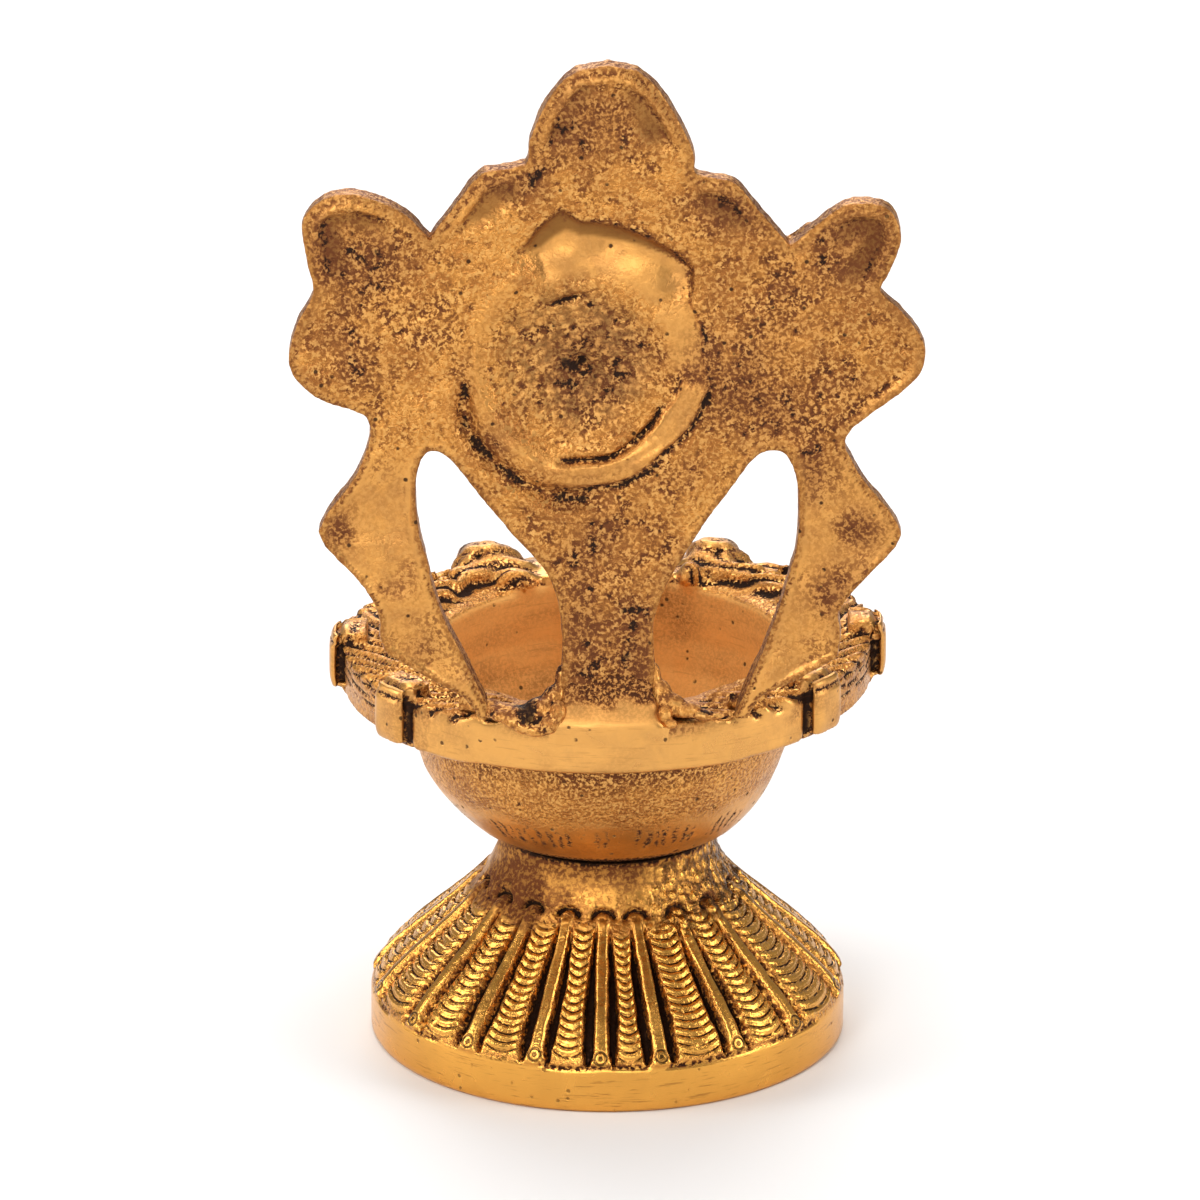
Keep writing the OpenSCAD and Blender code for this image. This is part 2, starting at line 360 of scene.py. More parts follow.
# ---- materials
class Nodes:
    """Short names for the nodes of a new material."""

    def __init__(self, name):
        self.mat = bpy.data.materials.new(name)
        self.mat.use_nodes = True
        self.nt = self.mat.node_tree
        self.nt.nodes.clear()
        self.shader = self.new("BsdfPrincipled")
        self.nt.links.new(self.shader.outputs[0], self.new("OutputMaterial").inputs[0])
        self.place = self.new("TexCoord").outputs["Object"]

    def new(self, kind):
        return self.nt.nodes.new("ShaderNode" + kind)

    def put(self, node, result=0, **values):
        """Sets or links a node's inputs, as i0 or by name with _ for a space. Gives an output."""
        for key, value in values.items():
            key = int(key[1:]) if key[1:].isdigit() else key.replace("_", " ")
            if isinstance(value, bpy.types.NodeSocket):
                self.nt.links.new(value, node.inputs[key])
            else:
                node.inputs[key].default_value = value
        return node.outputs[result]

    def math(self, op, a, b, clamp=False):
        node = self.new("Math")
        node.operation, node.use_clamp = op, clamp
        return self.put(node, i0=a, i1=b)

    def mul(self, a, *rest, clamp=False):
        return self.math("MULTIPLY", a, self.mul(*rest), clamp) if rest else a

    def add(self, a, b, clamp=False):
        return self.math("ADD", a, b, clamp)

    def sub(self, a, b, clamp=False):
        return self.math("SUBTRACT", a, b, clamp)

    def most(self, a, b, clamp=False):
        return self.math("MAXIMUM", a, b, clamp)

    def stretched(self, scale):
        """The place, stretched by a scale for each axis."""
        return self.put(self.new("Mapping"), Vector=self.place, Scale=scale)

    def noise(self, size_mm, detail, rough=0.6, place=None, distort=0):
        return self.put(self.new("TexNoise"), Vector=place or self.place, Scale=1000 / size_mm,
                        Detail=detail, Roughness=rough, Distortion=distort)

    def cells(self, size_mm):
        return self.put(self.new("TexVoronoi"), Vector=self.place, Scale=1000 / size_mm)

    def band(self, value, low, high, a=0, b=1):
        """value from low to high is mapped to a..b, smoothly, and held outside."""
        node = self.new("MapRange")
        node.interpolation_type = "SMOOTHSTEP"
        return self.put(node, Value=value, From_Min=low, From_Max=high, To_Min=a, To_Max=b)

    def attr(self, name):
        node = self.new("Attribute")
        node.attribute_name = name
        return node.outputs["Fac"]

    def mix(self, share, a, b):
        node = self.new("Mix")
        node.data_type = "RGBA"
        return self.put(node, 2, i0=share, i6=a, i7=b)

    def bump(self, height, depth_mm, strength):
        return self.put(self.new("Bump"), Height=height, Distance=depth_mm * MM, Strength=strength)


def rgb(*levels):
    """A colour from display levels of 0 to 255."""
    shares = [c / 255 for c in levels]
    linear = [c / 12.92 if c <= 0.04045 else ((c + 0.055) / 1.055) ** 2.4 for c in shares]
    return (*linear, 1)


# BRIGHT and YELLOW are the shine of filed brass, and also the colours of the painted glints
BRIGHT = rgb(234, 178, 102)
YELLOW = rgb(242, 178, 82)
GOLD = rgb(212, 146, 70)
DEEP = rgb(168, 108, 52)
BROWN = rgb(114, 65, 34)
DARK = rgb(44, 26, 16)
# OLIVE is olive tarnish, and also painted shade in the disc's cove and the lobes' sunk fields
OLIVE = rgb(128, 86, 42)
PALE = rgb(240, 190, 112)


def scratched(s, colour, height, filed, amount):
    """Fine level file marks on the filed places."""
    lines = s.noise(0.5, 3, 0.7, place=s.stretched((0.12, 0.12, 1.6)))
    line = s.band(lines, 0.56, 0.68)
    colour = s.mix(s.mul(s.mul(line, filed), 0.45 * amount), colour, BROWN)
    return colour, s.add(height, s.mul(s.mul(lines, filed), 0.25 * amount))


def chased(s, colour, height, shine):
    """The crescents between the pedestal's ribs, with a painted highlight on each, and the ringed dot
    at each rib's foot.
    """
    gate = s.attr("crescent")
    saw = s.math("FRACT", s.attr("phase"), 0)
    line = s.mul(s.band(saw, 0, 0.07), s.band(saw, 0.27, 0.15))
    line = s.mul(s.mul(line, gate), s.band(s.noise(1.4, 2), 0.36, 0.48))
    # painted highlight on each crescent, which also lifts the bump a little
    painted_crescent_glint = s.mul(s.mul(s.band(saw, 0.42, 0.6), s.band(saw, 0.98, 0.72)), gate)
    colour = s.mix(s.mul(painted_crescent_glint, 0.5), colour, shine)
    colour = s.mix(s.mul(line, 0.95), colour, DARK)
    dot = s.attr("dot")
    ring_line = s.mul(s.band(dot, 0.5, 0.62), s.band(dot, 0.92, 0.74))
    ring_line = s.most(ring_line, s.band(dot, 0.34, 0.22))
    colour = s.mix(s.mul(ring_line, 0.8), colour, DARK)
    height = s.sub(height, s.mul(line, 1.1))
    height = s.add(height, s.mul(painted_crescent_glint, 0.35))
    return colour, s.sub(height, s.mul(ring_line, 1))


def brass(name, grain, pits, patches, grain_mm, rough, deep=0.5, crescents=False, scratch=0,
          gleam=0.38, shine=BRIGHT):
    """Antique cast brass. grain, pits and patches say how much of each it shows.

    What is painted on a piece: dark is dirt in its hollows and painted shade, stain is patina
    and painted shadow, filed is where it is smooth and bright, tone is olive tarnish and painted
    shade, lump is a floor of cast lumps, and matte is a dull pale surface.
    """
    s = Nodes(name)
    mul, add, sub, mix, band = s.mul, s.add, s.sub, s.mix, s.band
    dark, filed, tone, stain, lump, matte = map(
        s.attr, ("dark", "filed", "tone", "stain", "lump", "matte"))

    fine = s.noise(grain_mm, 2.6, 0.55, distort=0.35)
    finer = s.noise(grain_mm * 0.45, 2, 0.5)
    broad = s.noise(9, 4)
    mid = s.noise(3.2, 4, distort=0.6)
    raw = add(mul(fine, 0.78), mul(finer, 0.22))
    unfiled = sub(1, filed, clamp=True)

    # specks sit in clusters, thicker where the dark attribute, with its dirt and painted shade, is
    # high
    hollow = sub(raw, mul(dark, 0.06))
    hollow = sub(hollow, mul(band(mid, 0.36, 0.64), 0.055))
    strength = add(mul(dark, 1.25), 0.22 * grain, clamp=True)
    speck = mul(band(hollow, 0.455, 0.375), unfiled, strength)
    pit = mul(band(s.cells(1.9), 0.17, 0.09), band(s.noise(2.6, 2), 0.47, 0.56))
    pit = mul(pit, pits, clamp=True)
    clouds = add(mul(broad, 0.6), mul(mid, 0.4))
    patch = mul(band(clouds, 0.53, 0.68), patches, add(0.35, mul(unfiled, 0.65)))
    cell = s.cells(1.15)
    valley = mul(band(cell, 0.36, 0.6), lump)

    colour = mix(band(add(mul(mid, 0.5), mul(broad, 0.5)), 0.38, 0.62), DEEP, GOLD)
    # painted glints: the raised tips of the grain are lightened towards shine, more on unfiled places
    # and where it is dark
    painted_grain_glint = add(mul(unfiled, add(mul(dark, 0.8), 0.45)), 0.1)
    colour = mix(mul(band(raw, 0.46, 0.64), painted_grain_glint), colour, shine)
    # this follows the dark attribute, so it darkens with both dirt and painted shade
    grime_and_shade = mul(dark, band(raw, 0.58, 0.42, 0.28, 1.35), clamp=True)
    for share, over in (
        (mul(filed, gleam), shine),
        (mul(band(matte, 0.6, 0.95), 0.6), PALE),
        (tone, OLIVE),
        (mul(patch, 0.6), BROWN),
        (mul(stain, band(raw, 0.6, 0.42, 0.36, 1), clamp=True), BROWN),
        (mul(lump, 0.5), shine),
        (mul(valley, 0.65), BROWN),
        (mul(band(cell, 0.48, 0.72), lump, 0.6), DARK),
        (mul(speck, 0.9), BROWN),
        (mul(band(hollow, 0.4, 0.33), speck, 0.8), DARK),
        (pit, DARK),
        (band(grime_and_shade, 0.05, 0.6), BROWN),
        (band(grime_and_shade, 0.45, 0.95), DARK),
        (band(dark, 0.72, 0.98), DARK),
    ):
        colour = mix(share, colour, over)

    height = sub(mul(band(raw, 0.36, 0.58), unfiled, 0.8), mul(pit, 0.9))
    height = sub(height, mul(band(cell, 0.15, 0.62), lump, 2.2))
    if scratch:
        colour, height = scratched(s, colour, height, filed, scratch)
    if crescents:
        colour, height = chased(s, colour, height, shine)

    dull = s.most(s.most(s.most(mul(speck, 0.7), pit), grime_and_shade), mul(stain, 0.8), clamp=True)
    dull = s.most(dull, mul(matte, 0.45))
    gloss = add(band(dull, 0, 1, rough, 0.8), mul(sub(mid, 0.5), 0.25), clamp=True)
    s.put(s.shader, Base_Color=colour, Metallic=band(dull, 0, 1, 0.96, deep))
    s.put(s.shader, Roughness=add(gloss, mul(matte, 0.26), clamp=True))
    s.put(s.shader, Specular_IOR_Level=0.25, Normal=s.bump(height, 0.11, 0.78))
    return s.mat


def steel(name):
    """Plain plated steel, a little tarnished."""
    s = Nodes(name)
    fine, broad = s.noise(0.6, 4), s.noise(4, 3)
    colour = s.mix(s.band(broad, 0.4, 0.62), rgb(168, 166, 160), rgb(196, 194, 188))
    colour = s.mix(s.band(fine, 0.62, 0.74), colour, rgb(120, 104, 84))
    s.put(s.shader, Base_Color=colour, Metallic=1, Roughness=s.band(fine, 0.3, 0.7, 0.28, 0.5))
    s.put(s.shader, Normal=s.bump(fine, 0.05, 0.5))
    return s.mat


MAT_PLATE = brass("plate_cast_brass", 0.6, 0.9, 0.6, grain_mm=0.46, rough=0.33)
# gleam lightens the filed places; the bowl's and the foot's are raised as painted light, where they
# stand in shade
MAT_BOWL = brass("bowl_cast_brass", 0.9, 0.8, 0.35, grain_mm=0.36, rough=0.3, scratch=0.4,
                 gleam=0.55)
MAT_FOOT = brass("pedestal_cast_brass", 0.6, 0.6, 0.35, grain_mm=0.5, rough=0.24,
                 crescents=True, scratch=1, deep=0.8, gleam=0.75, shine=YELLOW)
MAT_BRAZE = brass("braze", 0.6, 0.5, 0.5, grain_mm=0.5, rough=0.32)
MAT_STEEL = steel("fixing_steel")


# ---- pedestal
# The ribs are set by hand, so their spacing varies.
RIBS = np.array([
    -79, -52.9, -33.3, -13, 1.8, 18, 36.2, 55.6, 78, 98, 119, 139, 160.5, 179.5, 200, 221, 240.5, 261,
])
FLARE_H = PED_H - BAND_H
RIB_LOW, RIB_HIGH = 5.7, 18.3                   # heights of the ribs' ends, before their jitter


def flare(t):
    """Radius of the pedestal's side, from the band at 0 to the crown at 1."""
    c = np.cos(np.radians(90 * unit(t) ** 0.8))
    return NECK_R + (FOOT_R - NECK_R) * c * c


def pedestal_skin():
    """Points over the outside: rows up the side and over the crown, columns round it."""
    side = [(flare(t), BAND_H + FLARE_H * t) for t in np.linspace(0, 1, 400)[1:-1]]
    prof = np.array([
        (FOOT_R - 2.4, 0), (FOOT_R - 0.5, 0), (FOOT_R - 0.12, 0.12), (FOOT_R, 0.5), (FOOT_R, BAND_H),
        *side, (NECK_R, PED_H - 0.35), (NECK_R - 0.35, PED_H), (3, PED_H),
    ])
    arc = np.concatenate([[0], np.cumsum(np.hypot(*np.diff(prof, axis=0).T))])
    bottom, band, neck, edge, end = arc[[3, 4, -3, -2, -1]]
    stops = np.concatenate([
        np.linspace(0, bottom, 6)[:-1], np.linspace(bottom, band - 0.4, 9)[:-1],
        np.linspace(band - 0.4, neck, 110), [edge, edge + 3, end],
    ])
    r, z = np.interp(stops, arc, prof[:, 0]), np.interp(stops, arc, prof[:, 1])
    dr, dz = np.gradient(r, stops), np.gradient(z, stops)
    length = np.hypot(dr, dz)
    cols = 648
    angle = np.repeat(np.arange(cols)[None] * 360 / cols, len(r), 0)
    wide = [np.repeat(v[:, None], cols, 1) for v in (r, z, stops - band, dz / length, -dr / length)]
    R, Z, up, NR, NZ = wide
    sin, cos = np.sin(np.radians(angle)), np.cos(np.radians(angle))
    s = Skin(np.stack([R * sin, R * cos, Z], -1), np.stack([NR * sin, NR * cos, NZ], -1))
    s.r, s.angle, s.up = R, angle, up
    return s


def add_ribs(s):
    """Ribs with a lens-shaped groove on each side and a dark arch above."""
    gap = (s.angle[..., None] - RIBS + 180) % 360 - 180
    which = np.abs(gap).argmin(-1)
    from_rib = np.radians(np.take_along_axis(gap, which[..., None], -1)[..., 0]) * s.r
    steady = lambda n: np.sin(which * 12.9898 + n * 78.233) * 0.5       # its own for each rib
    low = RIB_LOW + 0.25 * steady(1)
    high = RIB_HIGH + 0.8 * steady(2)
    t = (s.z - low) / (high - low)
    a = from_rib + 0.1 * steady(3) * (s.z - 10) / 4
    rib_w = 0.62 + 0.16 * (1 - unit(t)) + 0.55 * bump(t, -0.02, 0.1)
    lens = np.sin(np.pi * unit(t) ** 0.55) ** 0.75
    groove_w = (1.36 + 0.35 * steady(4) * np.sign(a)) * lens
    ragged = noise(s.P, 1.6, 5) * 0.1
    past_rib = np.abs(a) - rib_w + ragged
    groove = ramp(-0.02, 0.24, past_rib) * ramp(-0.02, 0.24, rib_w + groove_w - np.abs(a) + ragged)
    groove = groove * (lens > 0.02)
    s.rib = ramp(0.06, -0.16, past_rib) * ramp(-0.02, 0.02, t) * ramp(1.03, 0.97, t)
    crowned = unit(1 - (np.abs(a) / most(rib_w, 0.1)) ** 2) ** 0.4
    over = s.z - high - 0.2
    arch = bump(np.hypot(a, over * 1.5), 1.32 + 0.25 * steady(5), 0.36) * ramp(-0.25, 0.25, over)
    arch = arch * (1 + 0.4 * steady(6))
    s.h += 0.38 * s.rib * (0.7 + 0.3 * crowned)
    s.h -= 1.35 * groove
    s.h -= 0.75 * arch
    s.dirt_and_shade(unit(1.3 * groove + 1.25 * arch))
    s.taken = rib_w + groove_w * 0.95
    s.dot = least(np.hypot(a, (s.z - low - 0.9) * 1.12), 2.5)


def add_crescents(s):
    """Scale-like crescents, one above another in each panel between two ribs."""
    ribs = np.sort(RIBS % 360)
    panel = np.searchsorted(ribs, s.angle, side="right") - 1
    before = s.angle < ribs[0]
    left = np.where(before, ribs[-1], ribs[panel])
    right = np.where(before | (panel + 1 == len(ribs)), ribs[0] + 360, ribs[(panel + 1) % len(ribs)])
    angle = np.where(before, s.angle + 360, s.angle)
    steady = lambda n: np.sin(panel * 7.13 + n * 3.7)                   # its own for each panel
    half = np.radians(right - left) * s.r / 2 - s.taken
    u = np.clip(np.radians(angle - (left + right) / 2) * s.r / most(half, 0.3), -1.4, 1.4)
    step = 1.22 + 0.16 * steady(1)
    s.phase = s.up / step - (0.72 + 0.1 * steady(2)) * u * u + 0.3 * steady(3)
    s.phase = s.phase + 0.07 * noise(s.P, 4, 9)
    top = 17.6 + 0.5 * steady(4)
    s.gate = ramp(1, 0.82, np.abs(u)) * ramp(5.9, 6.5, s.z) * ramp(top + 0.6, top - 0.6, s.z)
    saw = s.phase - np.floor(s.phase)
    s.h += s.gate * (0.2 * (saw - 0.5) - 0.16 * bump(saw, 0.1, 0.1))
    # the uneven line where the panels meet the band
    seam = BAND_H + 0.55 + 0.3 * noise(s.P, 5, 21)
    broken = noise(s.P, 3, 22) * 0.5 + 0.5
    s.h -= 0.3 * bump(s.z, seam, 0.22) * ramp(0.35, 0.6, broken)
    s.dirt_and_shade(0.75 * bump(s.z, seam, 0.3) * ramp(0.4, 0.65, broken))
    # the panels swell a little between the grooves
    s.h += 0.18 * ramp(1.15, 0.6, np.abs(u)) * ramp(5.8, 7.2, s.z) * ramp(19, 16.5, s.z)


def add_neck(s):
    """The rough neck: cast lumps on its -X side, patina and pits elsewhere, and painted shadow under
    the bowl at its top.
    """
    P, Z = s.P, s.z
    turn = (s.angle + 180) % 360 - 180
    side = ramp(-8, -34, turn) * ramp(-130, -100, turn)
    lumps = side * (ramp(15, 18.5, Z) * ramp(PED_H - 0.2, PED_H - 1.2, Z))
    near, second = cell_noise(P + 0.5 * noise(P, 1, 2)[..., None], 1.05, 3)
    crack = ramp(0.22, 0.04, second - near)
    s.h += lumps * (0.16 * (0.5 - near) - 0.08 * crack)
    spread = 0.3 + 0.7 * ramp(0, 0.5, noise(P, 6, 31))
    low_neck = ramp(16.5, 18, Z) * ramp(23, 19.5, Z) * spread
    s.h += 0.1 * low_neck * noise(P, 0.9, 41)
    s.h += 0.05 * fractal(P, 1.1, 3, 51) * ramp(BAND_H, BAND_H + 1.5, Z) * (1 - 0.9 * s.gate)
    s.h += 0.1 * fractal(P, 9, 2, 55)
    s.h *= (1 - 0.85 * ramp(0.4, 0, Z)) * ramp(PED_H - 0.05, PED_H - 0.4, Z)
    s.h[Z < 0.2] = 0

    s.dirt_and_shade(lumps * 0.2 * crack)
    patina = ramp(15.5, 18.5, Z) * ramp(-0.3, 0.4, fractal(P, 5, 3, 91))
    s.dirt_and_shade(0.3 * patina * (1 - side))
    # patina, and from 20.5 mm up painted shadow under the bowl
    s.stain = most(0.86 * patina, 0.7 * ramp(20.5, 24.4, Z)) + 0.34 * ramp(16, 18.5, Z)
    s.stain = s.stain * (1 - 0.85 * lumps)
    # painted shadow: the neck's top darkened where the bowl sits over it
    s.dirt_and_shade(0.95 * ramp(23.8, 24.9, Z))
    s.dirt_and_shade(0.9 * ramp(0.3, 0.12, cell_noise(P, 1.15, 61)[0]) * low_neck)
    s.wear(ramp(BAND_H + 0.9, BAND_H + 0.1, Z))
    s.wear(most(0.8 * s.rib, 0.7 * s.gate))
    s.wear(0.65 * ramp(16.5, 19, Z) * (1 - side) * (1 - low_neck))
    s.filed = unit(least(s.filed, 1 - 0.45 * lumps))
    s.tone = 0.5 * patina * (1 - side)
    s.lump = unit(1.2 * lumps)


def make_pedestal():
    s = pedestal_skin()
    add_ribs(s)
    add_crescents(s)
    add_neck(s)
    P = s.P + s.h[..., None] * s.N
    P[..., 2] = np.clip(P[..., 2], 0, PED_H)
    flip = lambda v: v[:, ::-1]                 # so that the faces look outwards
    painted = dict(dark=s.dark, filed=s.filed, tone=s.tone, phase=s.phase, crescent=s.gate,
                   dot=s.dot, stain=s.stain, lump=s.lump)
    painted = {name: flip(values).ravel() for name, values in painted.items()}
    ob = grid_mesh("pedestal_casting", flip(P))
    finish_piece(ob, MAT_FOOT, "pedestal", "cast_brass", "pedestal", **painted)


def make_hollow():
    """The rough hollow inside the pedestal, and the hole through its crown."""
    side = [(flare(t) - 3.4, BAND_H + FLARE_H * t) for t in np.linspace(0.08, 0.6, 24)]
    crown = [(r, CROWN_Z) for r in (9.2, 7.5, 5.6, HOLE_R)]
    prof = [(FOOT_R - 2.4, 0), (FOOT_R - 2.6, 0.3), (FOOT_R - 2.6, BAND_H),
            *side, (9.6, CROWN_Z - 0.4), *crown, (HOLE_R, PED_H)]
    P = rings(prof, full_turn(200))
    rough = 0.22 * fractal(P, 2.2, 3, 81)
    rough = rough * ramp(0, 1.5, P[..., 2]) * ramp(CROWN_Z - 0.1, CROWN_Z - 1.5, P[..., 2])
    P[..., :2] *= (1 + rough / np.hypot(P[..., 0], P[..., 1]))[..., None]
    dark = (0.32 + 0.2 * fractal(P, 4, 2, 83)).ravel()
    finish_piece(grid_mesh("pedestal_hollow", P), MAT_PLATE, "pedestal", "cast_brass",
                 dark=dark, tone=np.full(dark.size, 0.3))


# ---- bowl
def bowl_leaves():
    """Lumps for the leaves and heads beside the spout: place, half widths and yaw."""
    blobs = []
    for s in (-1, 1):
        for x, y, z, rx, ry, rz, yaw in (
            (12.4, -21.6, 49, 4.2, 1.25, 1.5, 14), (15.8, -19.4, 48.9, 4.9, 1.35, 1.4, 22),
            (18.8, -16.4, 48.6, 4.6, 1.3, 1.2, 34), (20.9, -12.6, 48.5, 4.2, 1.2, 1, 44),
            (22.6, -8.4, 48.4, 3.8, 1.1, 0.9, 54), (19.2, -21.4, 48.4, 3.4, 1.5, 1.3, 30),
            (22.9, -17.6, 48.3, 3.4, 1.5, 1.1, 42), (26, -12.6, 48.2, 3.4, 1.4, 0.9, 55),
            (10.2, -19.2, 48.3, 2, 1.8, 1.6 if s > 0 else 2.4, 0),
            (13, -24.6, 50.6, 2.6, 2.2, 1.5, 10),
        ):
            blobs.append((s * x, y, z, rx, ry, rz, s * yaw))
    return blobs


def bowl_places(ob):
    """The bowl's points, and how far each belongs to the top, the wall, a clasp and so on."""
    s = Skin(coords(ob), normals(ob))
    x, y, z = s.x, s.y, s.z
    s.r = r = np.hypot(x, y)
    s.angle = np.degrees(np.arctan2(x, y))
    s.at = np.abs(s.angle)
    s.out = s.N[:, 0] * x + s.N[:, 1] * y       # r where a point faces straight outwards
    s.spout = ramp(11, 9, np.abs(x)) * ramp(-17, -20, y)
    s.trough = ramp(7.5, 6, np.abs(x)) * ramp(-12, -15, y) * ramp(37, 38.5, z)
    s.top = ramp(0.55, 0.8, s.N[:, 2]) * ramp(46.4, 46.9, z) * ramp(20.2, 20.8, r) * (1 - s.spout)
    s.outer = ramp(RIM_R - 1.6, RIM_R - 0.7, r) * ramp(BAND_Z - 0.4, BAND_Z + 0.2, z)
    s.wall = s.outer * ramp(0.8, 0.5, s.N[:, 2]) * (1 - s.spout)
    s.clasp, s.cheek = np.zeros((2, len(r)))
    for place in CLASPS:
        d = np.abs((s.at - place) * math.pi / 180 * r)
        s.clasp = most(s.clasp, ramp(3.1, 2.7, d) * ramp(27.2, 28.2, r))
        s.cheek = most(s.cheek, bump(d, 3.2, 0.2) * ramp(27.5, 28.8, r))
    s.head = spot((np.abs(x) - 13.7) / 4.6, (y + 25) / 4.6) * ramp(45, 47, z)
    inside = (r < 21.3) & (z > 30) & (z < 47.8) & (s.out < 0.2 * r) & (s.N[:, 2] > -0.3)
    s.inside = inside * (1 - s.top)
    s.cup = (z < BAND_Z + 0.6) * (r < 24) * (1 - s.inside)
    return s


def add_barbs(s):
    """Feathered barbs over the rim's top, slanting back from the spout on each side."""
    P, r, at = s.P, s.r, s.at
    phase = (0.62 * (np.radians(at) * 26) - 0.8 * (r - 26) + 0.7 * noise(P, 5, 3)) / 1.75
    barb = bump(phase - np.floor(phase), 0.5, 0.3)
    near_back = ramp(9.5, 12.5, np.abs(s.x)) * ramp(-11, -6, s.y)
    feather = s.top * (1 - s.clasp) * near_back
    s.h += feather * (0.95 * barb - 0.55)
    s.dirt_and_shade(feather * ramp(0.46, 0.16, barb))
    # they run out over the rim's outer edge
    edge = ramp(RIM_R - 2.2, RIM_R - 1.3, r) * ramp(RIM_Z - 1.6, RIM_Z - 0.7, s.z)
    edge = edge * (1 - s.clasp) * (1 - s.spout) * ramp(24, 34, at + 6 * noise(P, 4, 5))
    s.h += edge * (1 - s.top) * (0.62 * barb - 0.4)
    s.dirt_and_shade(edge * ramp(0.48, 0.16, barb))


def add_heads(s):
    """Veins on the leaves beside the spout, and a coil and an eye on each head."""
    x, y, z, head = np.abs(s.x), s.y, s.z, s.head
    leafy = ramp(-7, -11, y) * ramp(47.6, 48.6, z) * (1 - s.spout) * (1 - head)
    vein = wave((0.45 * x - 0.89 * y + 0.8 * noise(s.P, 3, 7)) / 1.9)
    s.h += leafy * 0.6 * (vein - 0.55)
    s.dirt_and_shade(leafy * ramp(0.36, 0.08, vein))
    from_head = np.hypot(x - 13.4, y + 25)
    coil = wave(from_head / 2.3 + np.arctan2(y + 25, x - 13.4) / (2 * np.pi))
    s.h += head * 0.3 * (coil - 0.6)
    s.dirt_and_shade(0.8 * head * ramp(0.22, 0.04, coil))
    s.wear(0.7 * head * ramp(0.3, 0.6, coil))
    eye = spot((x - 14.2) / 0.55, (z - 51.2) / 0.5) * ramp(-25, -23, y)
    s.h -= 0.9 * eye
    s.dirt_and_shade(eye)


def add_clasps(s):
    """The clasps are worn round, with soot and a crease at the rim's edge."""
    P, r, z = s.P, s.r, s.z
    for place in CLASPS:
        d = (s.at - place) * math.pi / 180 * r
        across, up = np.clip(np.abs(d) / 2.9, 0, 1.2), np.clip(np.abs(z - 46.6) / 3.8, 0, 1.2)
        face = ramp(3.3, 2.9, np.abs(d)) * ramp(RIM_R - 0.6, RIM_R + 0.2, r)
        s.h -= face * (0.75 * across**4 + 0.95 * up**4 - 0.25)
        cap = ramp(3.4, 2.8, np.abs(d)) * ramp(RIM_Z + 0.5, RIM_Z + 1.2, z) * ramp(0.3, 0.7, s.N[:, 2])
        hammered = fractal(P, 1.4, 2, 61)
        s.h -= cap * (0.8 * across**3 - 0.3 * hammered)
        s.dirt_and_shade(0.45 * cap * ramp(0.05, -0.3, hammered))
        s.dirt_and_shade(0.22 * s.wall * bump(d, -4.2, 0.9) * ramp(-0.3, 0.3, noise(P, 1.5, 65)))
        crease = face * bump(z, RIM_Z + 0.3 + 0.35 * noise(P, 1.6, 64), 0.22)
        s.h -= 0.3 * crease
        s.dirt_and_shade(0.4 * crease)
    # grooves at the sides of the clasps, with painted shade in them
    s.h -= 0.4 * s.cheek * most(s.wall, s.top * 0.6)
    s.dirt_and_shade(0.45 * s.cheek * most(s.wall, s.top))


def add_wall(s):
    """The rim's band: filed at the back, recessed and lined between the clasps."""
    P, z, wall = s.P, s.z, s.wall
    between = ramp(55, 57, s.at) * (1 - s.clasp)
    s.h -= 0.55 * wall * between
    dash = wave(z / 1.05 + 0.25 * noise(P, 3, 13))
    dashes = wall * between * ramp(BAND_Z + 1.6, BAND_Z + 3, z)
    s.h += dashes * 0.22 * (dash - 0.5)
    s.dirt_and_shade(dashes * ramp(0.35, 0.08, dash) * 0.75)
    s.wear(wall * ramp(58, 54, s.at))
    s.wear(s.clasp * s.outer * 0.9)
    s.h += 0.1 * wall * fractal(P, 5, 2, 19)
    s.h += 0.1 * s.outer * bump(z, BAND_Z + 0.3, 0.5)
    # soot round the brazes and on the rim beside them, and painted shadow under their drooping lips
    far = np.abs(s.x)
    lip = np.where(s.x > 0, s.x - 8.6, 0.8 * (far - 8))
    shadow_under_lip = wall * spot(lip / 3.2, (z - 48) / 0.75) * (s.y > 20)
    soot = s.top * (s.y > 15) * ramp(7, 9, far) * ramp(21, 15, far)
    smudge = wall * bump(s.at, 43.5, 4.5) * ramp(-0.3, 0.3, fractal(P, 2.4, 3, 66))
    s.stain += 0.3 * s.clasp * s.outer * ramp(-0.4, 0.3, noise(P, 3, 69))
    s.stain += 0.85 * shadow_under_lip + 0.55 * soot + 0.5 * smudge
    s.stain += 0.16 * wall * ramp(0, 0.5, fractal(P, 6, 3, 67))


